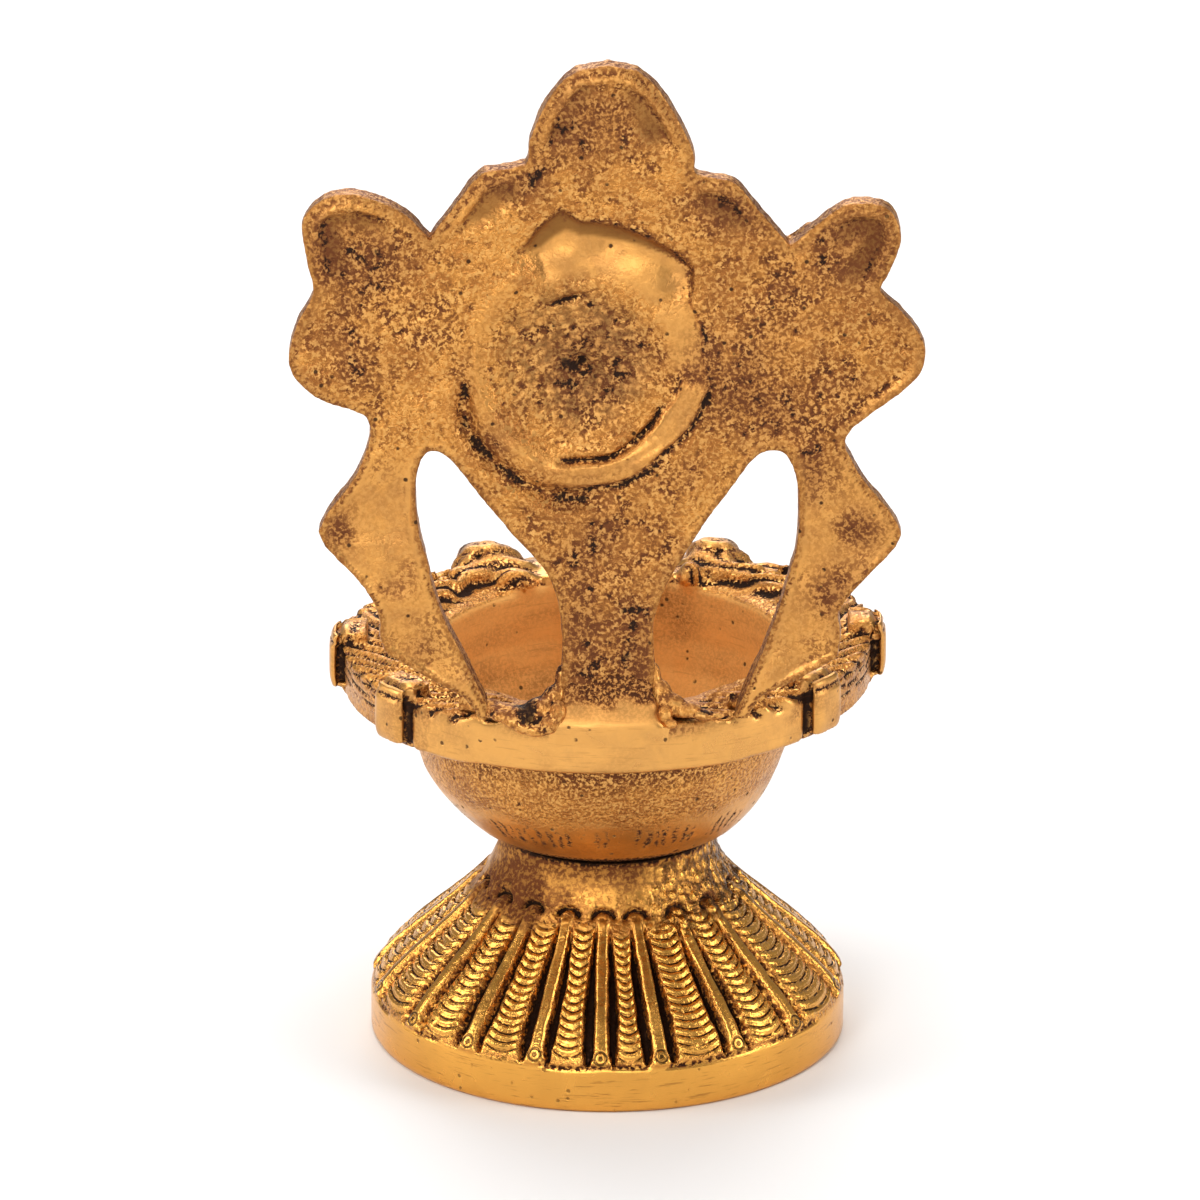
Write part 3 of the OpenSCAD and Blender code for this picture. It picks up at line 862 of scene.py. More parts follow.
def add_cup(s):
    """The cup: pitted under the rim, with dirt, patina and painted shade there, filed and ticked near
    its foot, painted shadow at its seat, clean inside.
    """
    P, z, cup, inside = s.P, s.z, s.cup, s.inside
    pits = ramp(0.2, 0.08, cell_noise(P, 2.1, 29)[0]) * ramp(0, 0.4, noise(P, 4, 33))
    s.h -= 0.22 * cup * pits
    s.dirt_and_shade(0.9 * cup * pits)
    s.h += cup * (0.05 * fractal(P, 1.3, 3, 37) + 0.1 * noise(P, 6, 39))
    low = ramp(33.4, 31.6, z + 0.9 * noise(P, 3, 43))
    s.wear(0.85 * cup * low)
    # darker towards the band in this and the next line: dirt and patina, with painted shade under the
    # band
    s.dirt_and_shade(cup * (0.11 + 0.5 * ramp(36.5, 42.5, z + 1.5 * noise(P, 4, 45))) * (1 - low))
    s.stain += 0.62 * cup * ramp(36.5, 42.8, z + 1.2 * noise(P, 5, 45))
    s.stain += 0.1 * cup * ramp(31, 27.5, z)
    s.wear(0.9 * inside)
    s.h += inside * 0.07 * fractal(P, 5, 2, 47)
    turn = np.radians(s.angle)
    sweep = noise(np.stack([turn * 2.5, z * 0.9, s.r * 0.3], -1), 1, 50)
    s.stain += inside * (0.14 + 0.16 * sweep + 0.3 * ramp(0.1, 0.6, fractal(P, 7, 2, 49)))
    tick = turn * 17
    group = ramp(-0.35, -0.1, line_noise(tick, 2.2, 44))
    strokes = bump(np.mod(tick + 0.5 * noise(P, 1.4, 46), 1.05) - 0.52, 0, 0.19)
    reach = ramp(28.3, 29.2, z) * ramp(32, 31.2, z + 0.8 * noise(P, 1.6, 48))
    s.dirt_and_shade(0.95 * cup * group * strokes * reach)
    # painted shade on the downward faces under the band
    s.dirt_and_shade(0.45 * (s.N[:, 2] < -0.5) * (z > BAND_Z - 0.6) * (s.r > 22.5))
    s.h *= 1 - ramp(27, 26, z)
    # painted shadow at the cup's foot, where it sits on the pedestal
    s.dirt_and_shade(0.9 * ramp(27.1, 26.2, z))
    # the spout is a plain filed trough
    s.wear(0.9 * most(s.spout, s.trough))
    s.dark = s.dark * (1 - 0.9 * s.trough)
    s.h += s.spout * 0.1 * fractal(P, 4, 2, 57)
    s.h += 0.03 * fractal(P, 1, 2, 59) * (1 - s.filed) * (1 - ramp(26.4, 25.4, z))
    s.h += 0.35 * cup * bump(z, 33, 6)


def bowl_shape(s):
    """Raises the points, makes the cup's side fair, and sets the bowl a little out of true."""
    x, y, z, r = s.x, s.y, s.z, s.r
    side = (s.cup > 0.5) & (s.out > 0.15 * r) & (z > 26.6) & (z < BAND_Z - 0.4)
    curve = np.polyfit(z[side], r[side], 4)
    fair = np.where(side, np.polyval(curve, z) - r, 0)
    fair = fair * ramp(26.6, 27.4, z) * ramp(BAND_Z - 0.4, BAND_Z - 1.4, z)
    P = s.P + s.N * s.h[:, None]
    P[:, 0] += fair * x / most(r, 1) + 0.75 * s.cup * bump(z, 33.5, 6)
    P[:, 1] += fair * y / most(r, 1)
    held = ramp(24, 26.5, P[:, 1]) * ramp(16.5, 14, np.abs(P[:, 0])) * 0.6
    P[:, 2] -= ramp(29, 43, P[:, 2]) * (1 - held) * P[:, 0] * math.sin(TILT)
    # the heads are not quite a pair, and the far rim is worn down
    far = ramp(-14, -20, y) * ramp(46.8, 48.2, z)
    shift = np.where(x > 0, 1.2, 1)
    P[:, 0] += far * shift * ramp(8, 12, np.abs(x)) * ramp(20, 16, np.abs(x))
    P[:, 2] -= 0.9 * ramp(-8, -18, y) * ramp(26, 30.5, r) * ramp(BAND_Z, RIM_Z, z)
    P[:, 2] -= 0.25 * np.clip(P[:, 2] - 49.5, 0, 5) * far
    return P


def make_bowl():
    ob = remeshed("bowl_casting", "bowl", bowl_leaves(), 0.41, 2)
    s = bowl_places(ob)
    for add_detail in (add_barbs, add_heads, add_clasps, add_wall, add_cup):
        add_detail(s)
    set_coords(ob, bowl_shape(s))
    hollow = cavity(ob)
    # dirt and painted shade in the hollows, found from the mesh; the bulges a little less dark
    s.dark = s.dark + 0.7 * ramp(0.015, 0.09, hollow) * (1 - s.inside) * (1 - 0.95 * s.trough)
    s.dark = s.dark - 0.3 * ramp(-0.02, -0.1, hollow)
    finish_piece(ob, MAT_BOWL, "bowl", "cast_brass_bowl", "bowl", dark=unit(s.dark),
                 filed=unit(s.filed), stain=unit(s.stain), matte=unit(s.inside + 0.15 * s.cup))


# ---- back plaque
def disc_places(s):
    """The rings and arcs of the disc on the plaque's back, as shares from 0 to 1.

    Angles are degrees as seen from behind, from the right and upwards.
    """
    s.u, s.v = -(s.x - 2.4), s.z - 91.9
    s.phi = phi = np.degrees(np.arctan2(s.v, s.u))
    s.rr = rr = np.hypot(s.u, s.v) + 0.22 * noise(s.P, 3.2, 101)
    by_angle = lambda angles, radii: np.interp(phi, angles, radii)

    # the overhanging step round the upper side of the disc, and the cove under it
    step = by_angle((-30, -8, 28, 41, 54, 70, 93, 99, 108, 117, 140),
                    (13.7, 13.5, 13.4, 15.7, 16, 15.9, 16.2, 17.9, 16.6, 15.2, 14))
    s.cove_w = by_angle((30, 42, 54, 70, 93, 99, 112, 120), (0.4, 0.5, 1.4, 2, 2.4, 3.2, 2.4, 1))
    s.under_step = step - rr
    turn = ramp(22, 46, phi + 1.5 * (rr - 11))
    s.upper = turn * ramp(128, 112, phi)
    s.right = ramp(-16, -2, phi) * (1 - turn) * (phi < 90)
    # ridge and groove round the lower left
    s.crest_r = by_angle((-180, -152, -139, -119, -94, -60, 115, 140, 180),
                         (12.4, 12.9, 13.1, 13.6, 12.9, 12.4, 11.6, 11.8, 12.4))
    s.groove_r = by_angle((-170, -161, -147, -131, -113, -94, -75),
                          (13.9, 14.3, 15.8, 16.1, 16.6, 17.2, 16.4))
    left = ramp(-60, -90, phi) * (phi < 0)
    s.left = np.where(phi > 110, 0.7 * ramp(112, 134, phi), left)
    s.groove = (phi < -60) * ramp(-172, -160, phi) * ramp(-72, -92, phi)
    # the smooth lip round the lower right, with a slit inside it
    s.slit_r = by_angle((-110, -100, -78, -49, -38, -20), (12.6, 12.5, 12.1, 10.9, 10.3, 10.6))
    s.out_r = by_angle((-110, -93, -75, -51, -36, -24, -8), (15.4, 15.4, 15, 13.9, 13.9, 13.9, 13.7))
    s.lower = ramp(-112, -96, phi) * ramp(-6, -18, phi)
    s.slit = s.lower * ramp(-28, -42, phi)
    # the pit in the middle, the lumpy floor round it and a chisel mark above it
    s.pit_r = np.hypot(s.u + 0.5, s.v + 0.95)
    s.smudge = spot((s.u + 1.4) / 2.6, (s.v + 1.45) / 2.2)
    s.floor = ramp(9.8, 6.2, rr + 1.2 * noise(s.P, 2.6, 105) + 0.18 * s.u)
    s.lumps = cell_noise(s.P * np.array([1, 0.6, 1.1]), 2.2, 115)[0]
    s.chisel = spot((s.u + 2.4) / 2, (s.v - 6.4 - 0.28 * (s.u + 2.4)) / 0.42)
    # the places that are smooth and bright
    smooth = most(s.upper, s.right) * ramp(8.3, 10.2, rr) * ramp(0.2, 0.6, s.under_step)
    lip = ramp(0.2, 0.8, rr - s.slit_r) * ramp(0.1, -0.4, rr - s.out_r)
    s.smooth = most(most(smooth, 0.85 * s.lower * lip), 0.6 * s.left * bump(rr, s.crest_r, 1.2))


def disc_relief(s):
    """How far each point of the disc is raised."""
    rr, upper, lower = s.rr, s.upper, s.lower
    sunk = unit(s.under_step / s.cove_w)
    H = -1.25 * upper * (1 - (1 - sunk) ** 1.7)
    H += 0.6 * upper * ramp(s.cove_w, s.cove_w + 4.5, s.under_step)
    H -= 0.45 * s.right * ramp(0, 0.9, s.under_step)
    H -= 0.55 * unit(1 - upper - s.right) * ramp(12.6, 9.4, rr)
    H -= 0.75 * ramp(10.4, 3.5, rr)
    H += 0.42 * s.left * bump(rr, s.crest_r, 1.15)
    H -= 0.85 * s.groove * bump(rr, s.groove_r, 0.95)
    H += 0.4 * s.groove * bump(rr, s.groove_r + 1.9, 0.75)
    H += 0.5 * lower * ramp(0, 0.8, rr - s.slit_r) * ramp(0.35, -0.25, rr - s.out_r)
    H -= 0.7 * s.slit * bump(rr, s.slit_r, 0.33)
    H -= 0.28 * lower * bump(rr, s.out_r + 0.7, 0.55)
    thin = 0.5 + 0.5 * np.cos(2 * np.pi * rr / 1.15 + 0.6)
    H += 0.11 * (thin - 0.5) * most(lower, s.left) * ramp(10, 11, rr) * ramp(16, 15, rr)
    H -= 0.9 * bump(s.pit_r, 0, 0.62) + 0.45 * s.smudge + 0.6 * s.chisel
    small = cell_noise(s.P * np.array([1, 0.6, 1.15]), 1, 113)[0]
    uneven = 0.16 * (0.55 - small) + 0.12 * (0.5 - s.lumps) + 0.12 * fractal(s.P, 1.5, 3, 111)
    return H + s.floor * uneven


def back_relief(s):
    """Where the back face lies: the disc, thin-lipped lobes, and the rough casting."""
    P, x, z, d = s.P, s.x, s.z, s.edge
    H = disc_relief(s)
    far = np.abs(x)
    lobe = most(ramp(115.5, 118.5, z), ramp(23, 27, x) * ramp(100, 104, z))
    lobe = most(lobe, ramp(-24, -28, x) * ramp(99, 103, z))
    lobe = most(lobe, 0.8 * ramp(105.5, 108.5, z) * ramp(9.5, 11, far) * ramp(20, 18, far))
    H += 0.36 * lobe * bump(d, 0.8, 0.5)
    sunk = ramp(1.1, 1.8, d) * ramp(4.6, 2.6, d + 1.1 * noise(P, 3.4, 117))
    s.field = lobe * sunk * ramp(-0.75, -0.2, noise(P, 5, 118))
    H -= 0.55 * s.field
    H += (0.55 * fractal(P, 11, 2, 119) + 0.3 * fractal(P, 3.4, 2, 121)) * ramp(0.3, 1.4, d)
    inner = 8 + (z - 50) * 0.42
    s.ribbon = ramp(82, 78, z) * ramp(inner, inner + 1, far)
    s.rough = (1 - 0.8 * s.smooth) * (1 - 0.7 * s.field) * ramp(0.1, 1, d)
    s.rough = s.rough * (1 - 0.7 * s.ribbon)
    s.fine = fractal(P, 0.95, 2, 123)
    H += s.rough * (0.1 * s.fine + 0.05 * noise(P, 0.7, 125))
    H += 0.35 * s.ribbon * np.sin((z + 0.8 * far) / 3.1 + 1.5 * noise(P, 6, 127))
    return PLATE_Y - 0.05 + H - 0.3 * rolled(d, 0.6)


def rolled(d, width):
    """1 at the outline, 0 from width inwards, along a quarter circle."""
    return 1 - np.sqrt(unit(1 - (1 - unit(d / width)) ** 2))


def front_relief(s):
    """Where the front face lies: a wheel, flames, a barred stem and pleated ribbons."""
    d, z = s.edge, s.z
    wx, wz = s.x - 0.2, z - 92
    w = np.hypot(wx, wz)
    turn = np.degrees(np.arctan2(wz, wx))
    F = 0.75 * (ramp(12.4, 12.9, w) * ramp(15.6, 15.1, w))
    F += 0.45 * bump(w, 14, 0.75) * (0.5 + 0.5 * np.cos(np.radians(turn) * 36))
    F += 0.22 * (bump(w, 12.75, 0.25) + bump(w, 15.25, 0.25))
    dome = np.sqrt(unit(1 - (w / 4.4) ** 2))
    F += ramp(4.6, 4.2, w) * (0.9 + 0.35 * dome) - 0.35 * bump(w, 2.6, 0.3)
    F -= 0.3 * bump(w, 0, 0.5)
    off_spoke = np.abs(np.radians((turn + 22.5) % 45 - 22.5) * w)
    spoke_w = 0.55 + 1 * bump(w, 8.2, 2.4)
    spoke = ramp(spoke_w + 0.25, spoke_w - 0.15, off_spoke) * ramp(12.8, 12.4, w) * ramp(4, 4.4, w)
    F += 0.75 * spoke * (1 - 0.35 * unit(off_spoke / 1.6))
    F += 0.2 * ramp(12.4, 4.4, w) * (w < 12.4)
    petals = ramp(15.6, 16.2, w) * ramp(20, 19.2, w)
    F += 0.35 * petals * np.abs(np.cos(np.radians(turn) * 16)) ** 0.7
    flames = ramp(18.6, 20.2, w) * ramp(83, 86, z + 0.05 * w)
    tongues = np.abs(np.sin(np.radians(turn + 7 * np.sin(w / 2.6)) * 13)) ** 0.8
    F += flames * (0.3 + 0.55 * tongues) * ramp(0.6, 2.4, d)
    F += 0.35 * bump(d, 0.9, 0.5) * ramp(0.4, 0.8, d) * ramp(16.5, 17.5, w)
    stem = ramp(78, 74, z) * ramp(9.5, 8, np.abs(s.x))
    F += 0.55 * stem * ramp(0.8, 2.2, d) * (0.6 + 0.4 * np.cos(z * 2.1))
    F += 0.5 * s.ribbon * wave(d / 1.55) * ramp(0.3, 1, d)
    F += 0.05 * fractal(s.P, 1, 2, 131)
    F += 0.6 * ramp(2.2, 0.6, d) * ramp(82, 86, z)
    s.front_h = F
    return PLATE_FRONT - np.clip(F, -0.2, 1.25) + 0.4 * rolled(d, 0.8)


def plate_shape(s):
    """Moves both faces to their relief, and makes the edge between them a little uneven."""
    P = s.P.copy()
    back, front = back_relief(s), front_relief(s)
    P[:, 1] = np.where(s.back, back, np.where(s.front, front, s.y))
    proud = 0.15 + 0.3 * ramp(84, 96, s.z) + 0.1 * fractal(s.P, 1.6, 3, 141)
    proud += 0.12 * noise(s.P, 4, 143)
    outward = s.N * np.array([1, 0, 1])
    outward /= most(np.linalg.norm(outward, axis=1)[:, None], 1e-6)
    P += outward * (proud * ramp(0.5, 0.1, s.edge) * ramp(RIM_Z + 0.4, RIM_Z + 2, s.z))[:, None]
    P[:, 2] = most(P[:, 2], RIM_Z)
    return P


# where the patina lies on the plaque's back: place, reach and how deep
PATINA = (
    (-15, 90, 7, 7, 0.26), (27, 89.5, 5, 3, 0.34), (16, 89, 1.4, 5, 0.3), (32, 106.5, 1.6, 4, 0.4),
    (28, 103, 7, 5, 0.55), (-27, 104, 7, 5, 0.42), (2, 120, 8, 6, 0.42), (11.5, 112, 4, 2, 0.45),
    (-14.5, 110, 4.5, 3, 0.4), (0, 68, 9, 9, 0.4), (3.4, 56.5, 1.8, 5, 0.46),
    (-3.7, 55, 1.6, 5.5, 0.5), (24, 64.5, 2.2, 1.4, 0.55), (21.5, 57, 2, 2, 0.5),
    (30.5, 71.5, 2.2, 2.6, 0.55), (-23, 78.5, 1.6, 5.5, 0.45), (-28.5, 71.5, 3, 3.4, 0.5),
    (-25, 64, 3, 4, 0.42), (-9.7, 91.4, 1.6, 3, 0.85), (13.5, 82, 3, 4, 0.34),
    (8, 114.5, 4, 5, 0.26), (-20, 84, 8, 5, 0.32), (0, 57, 6, 8, 0.34), (30, 95, 3, 4, 0.26),
    (-0.5, 78, 9, 3, 0.34), (2.6, 90.5, 6.5, 6, 0.62),
)


def plate_patina(s):
    """Broad soft patina on the back, with specks of dirt where it is deep."""
    P, x, z = s.P, s.x, s.z
    ragged = 1 + 0.5 * noise(P, 2.4, 155)
    for px, pz, wide, high, amount in PATINA:
        near = np.exp(-((((x - px) / wide) ** 2 + ((z - pz) / high) ** 2) * ragged))
        s.stain = s.stain + 1.6 * amount * near * (1 - 0.6 * s.stain)
    s.stain = s.stain + 0.24 * ramp(-2, -14, x) * ramp(82, 90, z)
    mottle = 0.55 + 0.45 * ramp(-0.5, 0.4, fractal(P, 4, 3, 159))
    s.stain = unit(1.46 * s.stain * mottle * (1 - 0.75 * s.smooth * (s.rr > 9)))
    s.dirt_and_shade(0.46 * s.stain * ramp(-0.3, 0.4, fractal(P, 2.2, 2, 157)))
    s.dirt_and_shade(0.26 * ramp(0, 0.45, fractal(P, 8, 3, 160)) * (1 - s.smooth))
    s.dark = s.dark + (0.18 + 0.26 * s.stain) * s.rough * ramp(0.05, -0.45, s.fine)
    # off the back a set stain: on the plaque's sides it stands for patina and painted shade
    s.stain = np.where(s.back, s.stain, np.where(s.side, 0.42, 0.25))


def plate_dirt(s):
    """Dirt in the marks of the disc, on the edge and in the low places of the front, and painted shade
    under the disc's step, in its cove, in the lobes' fields and on the sides.
    """
    P, rr = s.P, s.rr
    patchy = lambda low, high, size, seed: ramp(low, high, noise(P, size, seed))
    s.dirt_and_shade(0.95 * bump(s.pit_r, 0, 0.75))
    s.dirt_and_shade(0.62 * s.smudge)
    # painted shadow along the disc's overhanging step
    shade_under = ramp(-0.55, -0.05, s.under_step) * ramp(0.75, 0.25, s.under_step)
    s.dirt_and_shade(s.upper * shade_under * (0.62 + 0.25 * noise(P, 2, 148)))
    s.dirt_and_shade(s.right * bump(s.under_step, 0, 0.35) * patchy(-0.2, 0.2, 2, 149) * 0.85)
    s.dirt_and_shade(0.62 * s.groove * bump(rr, s.groove_r, 0.85) * patchy(-0.45, 0.25, 2.2, 151))
    s.dirt_and_shade(0.68 * s.slit * bump(rr, s.slit_r, 0.32) * patchy(-0.5, 0, 2.5, 152))
    s.dirt_and_shade(0.45 * s.lower * bump(rr, s.out_r + 0.7, 0.5))
    s.dirt_and_shade(s.floor * ramp(0.45, 0.8, s.lumps) * 0.3)
    s.dirt_and_shade(0.85 * s.chisel)
    plate_patina(s)
    # the plaque's sides darkened: dirt and painted shade
    s.dark = most(s.dark * s.back, s.side * (0.38 + 0.14 * noise(P, 4, 153)))
    s.dark = np.where(s.front, unit(0.9 - s.front_h * 1.6) * 0.85, s.dark)
    polish = 0.85 * s.smooth + 0.75 * s.field + 0.6 * ramp(1.3, 0.5, s.edge) + 0.65 * s.ribbon
    s.filed = np.where(s.back, unit(polish), 0.15 + 0.45 * ramp(0.5, 0.9, s.front_h))
    # painted shade: the cove under the disc's step and the lobes' sunk fields are painted olive, and
    # the plaque's sides a little
    down = s.under_step / s.cove_w
    cove = s.upper * ramp(-0.05, 0.12, down) * ramp(1.12, 0.85, down)
    s.tone = most(np.where(s.back, unit(0.85 * s.field + 0.9 * cove), 0), 0.25 * s.side)


def make_plate():
    ob = remeshed("plaque_casting", "back_plate", [], 0.33, 3)
    s = Skin(coords(ob), normals(ob))
    s.edge = edge_distance(s.x, s.z, outline_segments("back_plate"))
    s.back = (s.y > PLATE_Y - 1.2) & (s.edge > 0.5)
    s.front = (s.y < PLATE_FRONT + 0.6) & (s.edge > 0.5)
    s.side = ~(s.back | s.front)
    disc_places(s)
    set_coords(ob, plate_shape(s))
    plate_dirt(s)
    hollow = cavity(ob)
    # dirt and painted shade in the hollows of both faces, found from the mesh; the bulges a little
    # less dark
    held = 0.36 * ramp(0.02, 0.12, hollow) * ramp(0.6, 1.6, s.edge)
    s.dark = s.dark + np.where(s.back, held, 0.55 * s.front * ramp(0.01, 0.08, hollow))
    s.dark = s.dark - 0.35 * ramp(-0.02, -0.1, hollow)
    finish_piece(ob, MAT_PLATE, "bowl", "cast_brass_plate", "back_plate", dark=unit(s.dark),
                 filed=unit(s.filed), tone=unit(s.tone), stain=unit(s.stain),
                 lump=np.where(s.back, 0.5 * s.floor, 0))


# ---- braze
def make_bead(name, node, blobs, dirt, seed):
    """A lump of braze with soft folds, dirt and painted shade in its hollows, and painted shade on its
    upward faces.
    """
    filed = 0.1
    ob = remeshed(name, node, blobs, 0.2, 9)
    P, N = coords(ob), normals(ob)
    fold = fractal(P, 2.3, 1, seed + 9)
    h = 0.26 * fractal(P, 2.8, 2, seed) + 0.15 * fold
    P = P + N * (h * (1 - 0.7 * filed))[:, None]
    P[:, 2] -= P[:, 0] * math.sin(TILT) * 0.5
    set_coords(ob, P)
    hollow = cavity(ob, 4)
    dark = dirt + 0.62 * ramp(0, -0.5, fold) - 0.25 * ramp(0.1, 0.5, fold)
    # dirt and painted shade in the hollows, found from the mesh; the bulges a little less dark
    dark = dark + 0.9 * ramp(0.01, 0.07, hollow) - 0.3 * ramp(-0.01, -0.05, hollow)
    # browner on the upward faces as painted shade, with patchy patina over all
    stain = 0.15 + 0.55 * ramp(0.3, 0.8, N[:, 2]) + 0.4 * fractal(P, 2.2, 2, seed + 3)
    finish_piece(ob, MAT_BRAZE, "bowl", "braze", node, dark=unit(dark), stain=unit(stain),
                 filed=np.full(len(P), filed))


def make_seam():
    """The filed seam that runs from the stem's foot out to the rim's band."""
    half, bottom = 7.4, 44.8
    xs = np.linspace(-half, half, 96)
    far = np.abs(xs)
    top = 49.3 + 4.2 * ramp(7, 4.4, far) + 0.7 * line_noise(xs, 2.6, 201)
    band_y = np.sqrt(RIM_R**2 - xs**2) + 0.02
    outer = []
    for t in np.arange(60) / 59:
        z = top + (bottom - top) * t
        f = unit((top - z) / (top - RIM_Z + 0.3))
        y = PLATE_Y + 0.02 + (band_y - PLATE_Y) * (f * f * (3 - 2 * f))
        proud = ramp(0, 0.2, t) * ramp(1, 0.45, t) * ramp(half, 5.6, far)
        p = np.stack([xs, y, z], -1)
        p[:, 1] = y + 0.26 * proud - 0.16 * (1 - proud) + 0.1 * noise(p, 3, 203) * proud
        outer.append(p)
    outer = np.array(outer)
    inner = outer[::-1] - np.array([0, 1.1, 0])
    ob = grid_mesh("seam_back", np.concatenate([outer, inner, outer[:1]]), closed=False)
    P = coords(ob)
    z = P[:, 2]
    upper = ramp(50.8, 52.6, z + 1.6 * noise(P, 2, 207))
    finish_piece(ob, MAT_BOWL, "bowl", "filed_brass", "braze_back", dark=0.55 * upper,
                 stain=0.45 * upper + 0.34 * ramp(48.8, 50.2, z), filed=1 - 0.95 * upper,
                 matte=0.58 * ramp(48.6, 49.6, z))


def make_brazes():
    make_seam()
    make_bead("braze_bead_left", "braze_left", [
        (5.3, 27.2, 52.8, 0.7, 1, 2.2), (6, 27.8, 51, 1.5, 1.4, 1.8),
        (7.4, 28.3, 50, 2.3, 1.7, 1.5), (9.4, 28.6, 49.4, 2.6, 1.8, 1.2),
        (11.8, 27.8, 49.5, 2.4, 1.6, 1), (13.6, 26.8, 49.9, 1.6, 1.2, 0.8),
        (5.6, 30, 50, 0.9, 0.9, 1.6), (6.6, 30.4, 48.8, 1.1, 0.8, 1.1),
        (8, 30.4, 48.2, 1.5, 0.7, 0.8), (9.4, 30.2, 48.5, 1.3, 0.7, 0.8),
        (10.7, 29.9, 49.1, 1.2, 0.7, 0.7), (12, 29.3, 49.6, 1.1, 0.6, 0.6),
    ], 0.32, 211)
    make_bead("braze_bead_right", "braze_right", [
        (-5.3, 27.3, 53, 0.7, 1, 2.2), (-5.9, 27.9, 51.4, 1.3, 1.3, 1.8),
        (-7.1, 28.6, 50.5, 1.8, 1.3, 1.3), (-8.8, 29, 50, 2, 1.1, 0.9),
        (-10.6, 29.2, 49.5, 1.8, 0.8, 0.7), (-12.2, 29, 49.3, 1.1, 0.5, 0.5),
        (-6.4, 30.1, 49.9, 0.8, 0.7, 1), (-7.6, 27.6, 49.6, 2.4, 1.6, 0.9),
        (-7.2, 30.4, 48.8, 0.8, 0.5, 0.6),
    ], 0.34, 209)
    for side, name, x in ((1, "left", 14.2), (-1, "right", -15.4)):
        make_bead("tack_" + name, "ribbon_braze_" + name, [
            (x, 25.3, 49.3, 1.8, 0.9, 0.8), (x - side, 24.9, 49, 1, 0.8, 0.6),
        ], 0.3, 220 + side)


# ---- stud, nut and washer
def make_stud():
    """Threaded at both ends, plain where it passes through the crown."""
    pitch, depth = 0.8, 0.38
    bottom, top = LOW["stud"][2], HIGH["stud"][2]
    angle = full_turn(64)
    heights = np.arange(bottom, top + 1e-6, 0.1)
    rows = [ring(0.02, angle, bottom)]
    for z in heights:
        threaded = not CROWN_Z - 0.2 < z < PED_H + 0.6
        groove = depth * (1 - (0.5 + 0.5 * np.cos(2 * np.pi * (z / pitch) - angle)))
        point = 0.86 + 0.14 * min(1, (z - bottom + 0.1) / 0.6)
        rows.append(ring((STUD_R - threaded * groove) * point, angle, z))
    rows.append(ring(0.02, angle, heights[-1]))
    ob = grid_mesh("stud_thread", np.array(rows))
    finish_piece(ob, MAT_STEEL, "bowl", "steel", "stud")


def make_nut():
    """A hexagon nut with turned corners, just clear of the washer above it."""
    low, high = LOW["nut"], HIGH["nut"]
    flat = (high[1] - low[1]) / 2
    bottom, top = low[2], high[2] - 0.03
    angle = full_turn(96)
    hexagon = flat / np.cos((angle + np.pi / 6) % (np.pi / 3) - np.pi / 6)
    turned = least(hexagon, flat * 0.98)
    bore = np.full(len(angle), BORE_R)
    profile = ((bore, bottom), (turned, bottom), (hexagon, bottom + 0.35),
               (hexagon, high[2] - 0.35), (turned, top), (bore, top))
    ob = grid_mesh("nut_hex", rings(profile, angle))
    shade(ob, False)
    finish_piece(ob, MAT_STEEL, "bowl", "steel", "nut")


def make_washer():
    """A flat washer with rounded edges."""
    bottom, top, rim = LOW["washer"][2], HIGH["washer"][2], HIGH["washer"][0]
    profile = ((HOLE_R, bottom), (rim - 0.15, bottom), (rim, bottom + 0.15),
               (rim, top - 0.1), (rim - 0.1, top), (HOLE_R, top))
    ob = grid_mesh("washer_ring", rings(profile, full_turn(96)))
    shade(ob, False)
    finish_piece(ob, MAT_STEEL, "pedestal", "steel", "washer")


for make_piece in (make_pedestal, make_hollow, make_bowl, make_plate, make_brazes, make_stud,
                   make_nut, make_washer):
    make_piece()


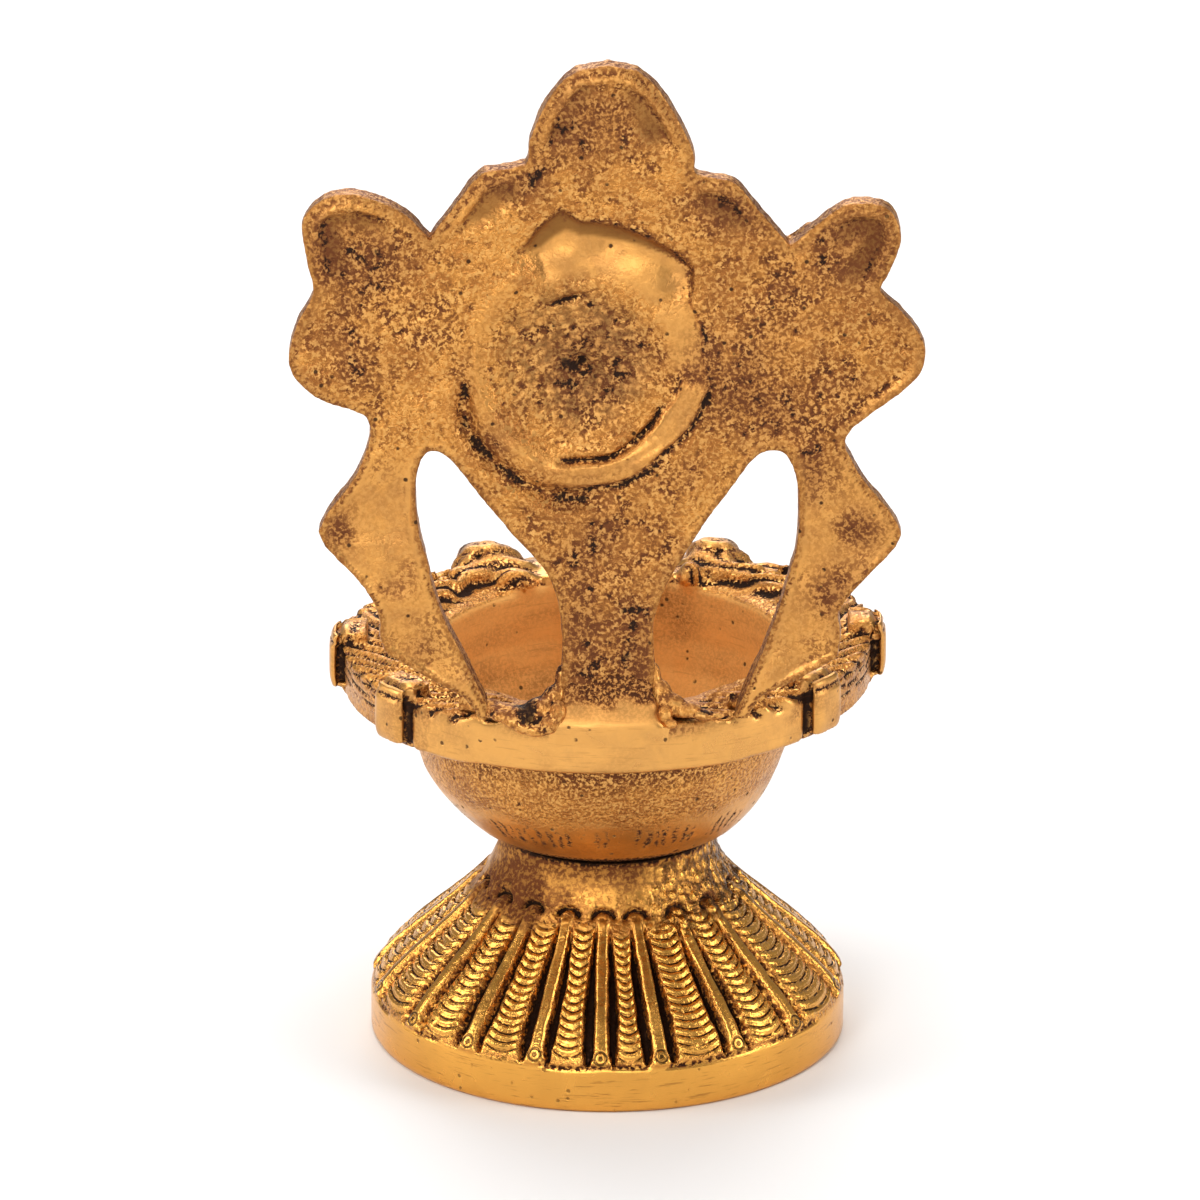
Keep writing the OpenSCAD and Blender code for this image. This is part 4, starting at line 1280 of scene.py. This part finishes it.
# ---- stage, light and camera
def make_stage():
    half = 3.0
    corners = np.array([(-half, -half, 0), (half, -half, 0), (half, half, 0), (-half, half, 0)])
    floor = new_mesh("floor", corners, np.array([(0, 1, 2, 3)]))
    s = Nodes("pale_floor")
    colour = s.mix(s.noise(60, 3, 0.5), rgb(222, 221, 220), rgb(227, 226, 225))
    s.put(s.shader, Base_Color=colour, Roughness=0.7)
    floor.data.materials.append(s.mat)
    floor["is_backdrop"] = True


def aim_at(ob, place, target):
    ob.location = place
    ob.rotation_euler = (Vector(target) - Vector(place)).to_track_quat("-Z", "Y").to_euler()


def make_lights():
    world = bpy.data.worlds.new("studio")
    bpy.context.scene.world = world
    world.use_nodes = True
    background = world.node_tree.nodes["Background"]
    background.inputs["Color"].default_value = (1, 1, 1, 1)
    background.inputs["Strength"].default_value = 0.32
    middle = (0, 0, 0.06)
    for name, place, target, size, power in (
        ("softbox_wide", (0.15, 1.75, 0.62), (0, 0, 0.1), (1.5, 0.9), 11),
        ("softbox_key", (0.62, 1.05, 1.00), middle, (0.5, 0.5), 7),
        ("softbox_left", (1.00, 0.1, 0.45), middle, (0.4, 0.7), 5),
        ("softbox_right", (-0.95, 0.25, 0.4), middle, (0.4, 0.7), 5),
        ("softbox_top", (0, -0.15, 1.1), middle, (0.8, 0.8), 8),
        ("softbox_front", (0.1, -1, 0.6), middle, (0.7, 0.6), 5),
    ):
        light = bpy.data.lights.new(name, "AREA")
        light.shape = "RECTANGLE"
        light.size, light.size_y = size
        light.energy = power
        aim_at(link(name, light), place, target)


def make_camera():
    """At the photograph's angle: straight behind, 20 degrees above the horizon."""
    lens = bpy.data.cameras.new("camera")
    lens.lens, lens.sensor_width = 284.5, 36
    lens.clip_start, lens.clip_end = 0.05, 20
    camera = link("camera", lens)
    up = math.radians(20)
    distance = 1.1
    target = Vector((0.0009, 0, 0.0528))
    aim_at(camera, target + distance * Vector((0, math.cos(up), math.sin(up))), target)
    bpy.context.scene.camera = camera


make_stage()
make_lights()
make_camera()
bpy.context.scene.view_settings.view_transform = "Standard"

[[list(map(float, c)) for c in box] for box in (CAD_BOX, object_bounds())]
